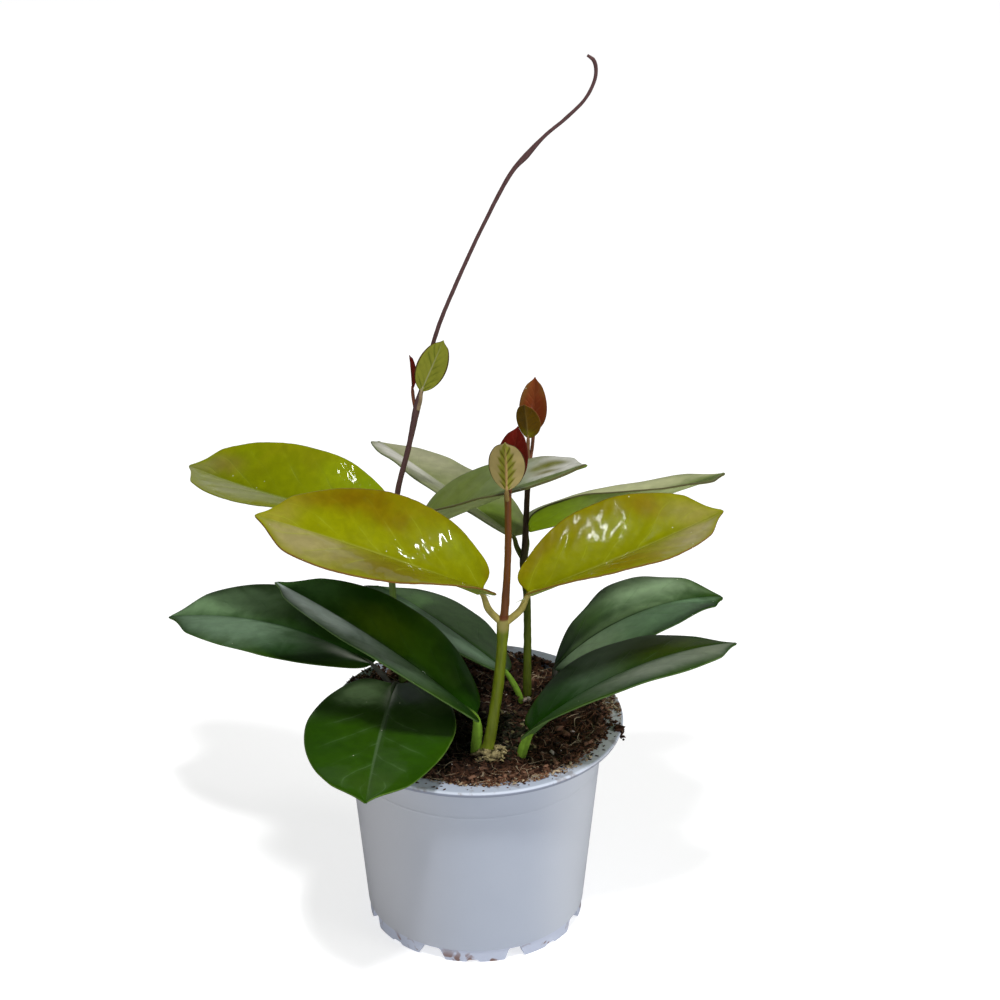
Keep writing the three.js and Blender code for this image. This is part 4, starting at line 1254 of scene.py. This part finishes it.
def leaf_material(name, look):
    paint = Paint(name)
    part, side, under = paint.split(paint.attribute("blade", "Vector"))
    out = paint.size(side)

    # Side veins leave the midrib by turns, bend towards the tip and fade before the margin
    lean = paint.minus(part, paint.times(paint.math("POWER", out, VEIN_CURVE), VEIN_SLANT))
    by_turns = paint.times(paint.math("GREATER_THAN", side, 0.0), 0.5)
    wobble = paint.times(paint.minus(paint.noise(45, 2), 0.5), 0.7)
    turns = paint.plus(paint.math("MULTIPLY_ADD", lean, VEINS, 0.25), paint.plus(by_turns, wobble))
    from_vein = paint.size(paint.minus(paint.math("FRACT", turns), 0.5))
    broken = paint.band(paint.noise(95, 2), 0.38, 0.6, 0.15, 1.0)
    inner = paint.times(paint.fade(out, *look["vein_reach"]), broken)
    vein = paint.times(paint.fade(from_vein, 0, 0.055), inner)
    soft_vein = paint.times(paint.fade(from_vein, 0, 0.32), inner)
    rib = paint.fade(out, look["rib_width"] * 0.3, look["rib_width"] * 1.5)

    # Colour, from the broad blotches and patches to the finest marks
    blotch = paint.plus(paint.noise(34, 3, 0.6), paint.band(out, 0.35, 1.0, 0.0, 0.15))
    paint.start(paint.band(blotch, 0.5, 0.78, 0.0, look["flush_share"] * 2), look["face"], look["flush"])
    paint.lay(look["under"], under)
    if look["heart"]:
        toothed = paint.plus(out, paint.times(from_vein, 0.35))
        paint.lay(look["heart"], paint.fade(toothed, *look["heart_reach"], 0.85))
    # The patches, painted sheen and painted shade among them, laid on with ragged, streaky edges
    cover = paint.attribute("cover")
    streaks = paint.times(paint.minus(paint.noise(85, 4, 1.2), 0.5), paint.band(cover, 0.05, 0.5, 0.0, 0.55))
    covered = paint.band(paint.plus(cover, streaks), 0.08, 0.92)
    paint.lay(paint.attribute("tint", "Vector"), covered)
    paint.colour = paint.toned(paint.colour, paint.band(paint.noise(230, 4, 0.3), 0.3, 0.75, 0.9, 1.08))
    paint.lay(look["vein"], vein, look["vein_strength"])
    paint.lay(look["vein"], soft_vein, look["vein_strength"] * look["vein_spread"])
    paint.lay(look["rib"], rib, paint.band(part, 0.2, 1.0, 0.8, 0.2))
    wavy_out = paint.plus(out, paint.math("MULTIPLY_ADD", paint.noise(160, 2), 0.02, -0.01))
    rim_start = 1 - look["rim_width"]
    rim = paint.band(wavy_out, rim_start - 0.012, rim_start + 0.012)
    paint.lay(look["rim"], rim, paint.band(under, 0.0, 1.0, 0.85, look["rim_below"]))
    # Pale specks, which on the red and copper young leaves are painted glints
    paint.lay((0.55, 0.58, 0.42), paint.specks(300, 0.1, 0.1 * look["specks"]), 0.75)

    # Petiole: its own colour, or on the listed leaves a dull grey that is painted shade and painted
    # reflection
    stalk = paint.mix(paint.attribute("grey"), look["stalk"], SHADE_GREY_STALK_COLOUR)
    stalk = paint.toned(stalk, paint.band(paint.noise(260), 0.35, 0.75, 1.0, 0.7))
    paint.lay(stalk, paint.attribute("stalk"))

    # Relief
    height = paint.total((soft_vein, -0.45), (vein, -0.35), (paint.noise(420), 0.18),
                         (paint.noise(150, 2, 0.5), look["wrinkle"] * 0.9))
    rough = paint.math("MULTIPLY_ADD", under, 0.15, look["rough"])
    return paint.finish(rough, paint.bump(height, 0.55, 0.35), Coat_Weight=look["coat"], Coat_Roughness=0.05,
                        Specular_IOR_Level=0.04)


def stem_material(name, low, high, change, collars, rough):
    """One colour below and another above the heights of change, with a red and a pale ring at each collar."""
    paint = Paint(name)
    z = paint.split(paint.spot())[2]
    wander = paint.math("MULTIPLY_ADD", paint.noise(70), 10, -5)
    share = paint.band(paint.plus(z, wander), *change)
    paint.start(share, low, high)
    streaks = paint.noise(900, place=paint.vector("MULTIPLY", paint.coordinates, (1, 1, 0.12)))
    dark = paint.mix(share, tuple(0.45 * v for v in low), tuple(0.5 * v for v in high))
    paint.lay(dark, paint.band(streaks, 0.4, 0.75, 0.0, 0.5))
    paint.lay(tuple(1.8 * v + 0.05 for v in high), paint.specks(700, 0.16, 0.22), 0.4)
    for height in collars:
        paint.lay((0.32, 0.26, 0.08), paint.fade(paint.size(paint.minus(z, height - 3)), 1, 4.5, 0.7))
        paint.lay((0.11, 0.014, 0.006), paint.fade(paint.size(paint.minus(z, height)), 0.5, 1.5, 0.8))
    height = paint.total((streaks, 1), (paint.noise(600), 0.6))
    return paint.finish(rough, paint.bump(height, 0.5, 0.25), Coat_Weight=0.15, Coat_Roughness=0.3)


def pot_material():
    """Pale blue-grey plastic with dust, grit and stains, and painted light: greyer and lighter at the left,
    lighter at the right, a lighter flange top that is brightest at the right, and a painted highlight along
    the lip's edge with a painted shadow line under it. The foot is lighter and bluer.
    """
    paint = Paint("pot_shell")
    spot = paint.spot()
    x, _, z = paint.split(spot)
    far = paint.vector("LENGTH", paint.vector("MULTIPLY", spot, (1, 1, 0)), output="Value")
    paint.start(paint.band(paint.noise(22), 0.3, 0.75), (0.35, 0.388, 0.47), (0.376, 0.414, 0.492))
    paint.lay((0.3, 0.3, 0.36), paint.band(paint.noise(420, 4), 0.62, 0.8, 0.0, 0.12))
    # Painted light: the left side greyer and lighter, the right side lighter
    paint.lay((0.44, 0.445, 0.47), paint.fade(x, -44, 4, 0.85))
    paint.lay((0.52, 0.545, 0.592), paint.band(x, 18, 48, 0.0, 0.85))
    # Painted light: the flange top lighter, and lighter still towards the right
    top = paint.band(z, POT_HEIGHT - 2.2, POT_HEIGHT - 1.6)
    paint.lay((0.43, 0.48, 0.59), top, 0.8)
    paint.lay((0.7, 0.72, 0.78), top, paint.band(x, 34, 52))
    # A painted highlight along the lip's outer edge, and a painted shadow line just below it
    lip = paint.band(far, FLANGE_RADIUS - 1.1, FLANGE_RADIUS - 0.5)
    paint.lay((0.56, 0.61, 0.71), lip, paint.band(z, POT_HEIGHT - 0.8, POT_HEIGHT - 0.5))
    paint.lay((0.16, 0.18, 0.24), lip, paint.fade(z, POT_HEIGHT - 1, POT_HEIGHT - 0.7, 0.75))
    paint.lay((0.46, 0.5, 0.62), paint.fade(z, FOOT_HEIGHT - 0.6, FOOT_HEIGHT + 0.2, 0.8))
    stain_place = paint.vector("ADD", paint.coordinates, (0.3, 0.1, 0))
    stain = paint.band(paint.noise(190, 4, 0.8, stain_place), 0.57, 0.66, 0.0, 0.85)
    paint.lay((0.16, 0.065, 0.03), stain, paint.fade(z, 1, 8))
    paint.lay((0.1, 0.06, 0.04), paint.specks(260, 0.13, 0.035), 0.75)
    dust = paint.band(paint.noise(240, 4, 0.4), 0.56, 0.68, 0.0, 0.45)
    paint.lay((0.16, 0.11, 0.085), dust, paint.band(z, POT_HEIGHT - 3, POT_HEIGHT - 0.2))
    height = paint.total((paint.noise(1500, 2), 1), (paint.noise(90, 2), 2))
    rough = paint.band(paint.noise(60), 0.3, 0.8, 0.4, 0.5)
    return paint.finish(rough, paint.bump(height, 0.25, 0.08), Specular_IOR_Level=0.25)


def peat_material(name, dark, brown, clod, pale):
    """Peat with painted shade: darkest round the middle under the leaves, and painted lighter further out. A
    grain with a high tone is pale.
    """
    paint = Paint(name)
    paint.start(paint.band(paint.noise(520, 5, 0.5), 0.35, 0.7), dark, brown)
    paint.lay(clod, paint.band(paint.noise(120), 0.5, 0.75, 0.0, 0.7))
    paint.lay(pale, paint.band(paint.attribute("tone"), 0.6, 1.0, 0.0, 0.9))
    paint.lay((0.4, 0.27, 0.16), paint.specks(650, 0.22, 0.06), 0.6)
    # Painted shade round the middle under the leaves, turning to painted light further out
    from_shade_middle = paint.vector("DISTANCE", paint.spot(), SHADE_MIDDLE, "Value")
    paint.colour = paint.toned(paint.colour, paint.band(from_shade_middle, 15, 56, 0.24, 1.45))
    height = paint.plus(paint.noise(900, 5), paint.noise(300, 4))
    rough = paint.band(paint.noise(400, 2), 0.4, 0.7, 0.55, 0.95)
    return paint.finish(rough, paint.bump(height, 0.9, 0.5), Specular_IOR_Level=0.35)


def perlite_material():
    paint = Paint("perlite")
    paint.start(paint.band(paint.attribute("tone"), 0.3, 0.9), (0.62, 0.56, 0.52), (0.48, 0.33, 0.27))
    paint.lay((0.24, 0.17, 0.13), paint.band(paint.noise(900), 0.45, 0.75, 0.0, 0.6))
    return paint.finish(0.85, paint.bump(paint.noise(1400), 0.6, 0.2))


def callus_material():
    paint = Paint("callus")
    paint.start(paint.band(paint.noise(420, 4, 0.4), 0.35, 0.7), (0.31, 0.255, 0.12), (0.045, 0.034, 0.013))
    paint.lay((0.7, 0.62, 0.42), paint.specks(1100, 0.26, 0.25), 0.7)
    return paint.finish(0.7, paint.bump(paint.noise(1100, 4), 0.8, 0.35))


def floor_material():
    paint = Paint("studio_floor")
    paint.start(paint.noise(3, 2), (0.6, 0.6, 0.6), (0.62, 0.62, 0.62))
    return paint.finish(0.8, Emission_Color=(1, 1, 1), Emission_Strength=FLOOR_GLOW)


# Studio: camera at the photograph's angle, pale floor, soft light
def make_camera():
    data = bpy.data.cameras.new("camera")
    data.lens = CAMERA_LENS
    data.sensor_width = CAMERA_SENSOR
    data.clip_end = CAMERA_SIGHT
    camera = add_object("camera", data)
    camera.location = put(CAMERA_PLACE)
    camera.rotation_euler = (math.radians(90 - CAMERA_DOWN), 0, 0)
    bpy.context.scene.camera = camera


def make_floor():
    mesh = bpy.data.meshes.new("studio_floor")
    corners = [(-FLOOR_HALF, -FLOOR_HALF, 0), (FLOOR_HALF, -FLOOR_HALF, 0),
               (FLOOR_HALF, FLOOR_HALF, 0), (-FLOOR_HALF, FLOOR_HALF, 0)]
    mesh.from_pydata(corners, [], [(0, 1, 2, 3)])
    mesh.materials.append(floor_material())
    floor = add_object("studio_floor", mesh)
    floor.visible_glossy = False


def make_lights():
    for name, (place, aim, size, watts, glossy) in LAMPS.items():
        data = bpy.data.lights.new(name, "AREA")
        data.shape = "RECTANGLE"
        data.size, data.size_y = size
        data.energy = watts
        lamp = add_object(name, data)
        lamp.visible_glossy = glossy
        lamp.location = place
        lamp.rotation_euler = (Vector(aim) - Vector(place)).to_track_quat("-Z", "Y").to_euler()
    world = bpy.data.worlds.new("studio")
    world.use_nodes = True
    background = world.node_tree.nodes["Background"]
    background.inputs["Color"].default_value = (1, 1, 1, 1)
    background.inputs["Strength"].default_value = WORLD_LIGHT
    world.cycles_visibility.glossy = False
    bpy.context.scene.world = world
    bpy.context.scene.view_settings.view_transform = "Standard"


make_camera()
make_floor()
make_lights()

leaf_paints = {look: leaf_material("blade_" + look, values) for look, values in LOOKS.items()}
for spec in LEAVES:
    rows, columns = CRINKLED_GRID if LOOKS[spec["look"]]["crinkle"] else GROWN_GRID
    make_leaf(spec, rows, columns, PETIOLE_SIDES, leaf_paints)
for spec in YOUNG_LEAVES:
    make_leaf(spec, *YOUNG_GRID, YOUNG_PETIOLE_SIDES, leaf_paints)
for name, (steps, sides, slot, colours) in STEM_LOOKS.items():
    make_stem(name, steps, sides, stem_material(name, *colours))
make_callus(callus_material())
make_spikes(leaf_paints["pale"])

make_pot(pot_material())
peat, fibre, moss = [peat_material(name, *colours) for name, colours in PEATS.items()]
make_soil(peat)
make_crumbs(peat)
make_moss(moss)
make_spill(peat)
make_husks(fibre)
make_fibres(fibre)
make_perlite(perlite_material())
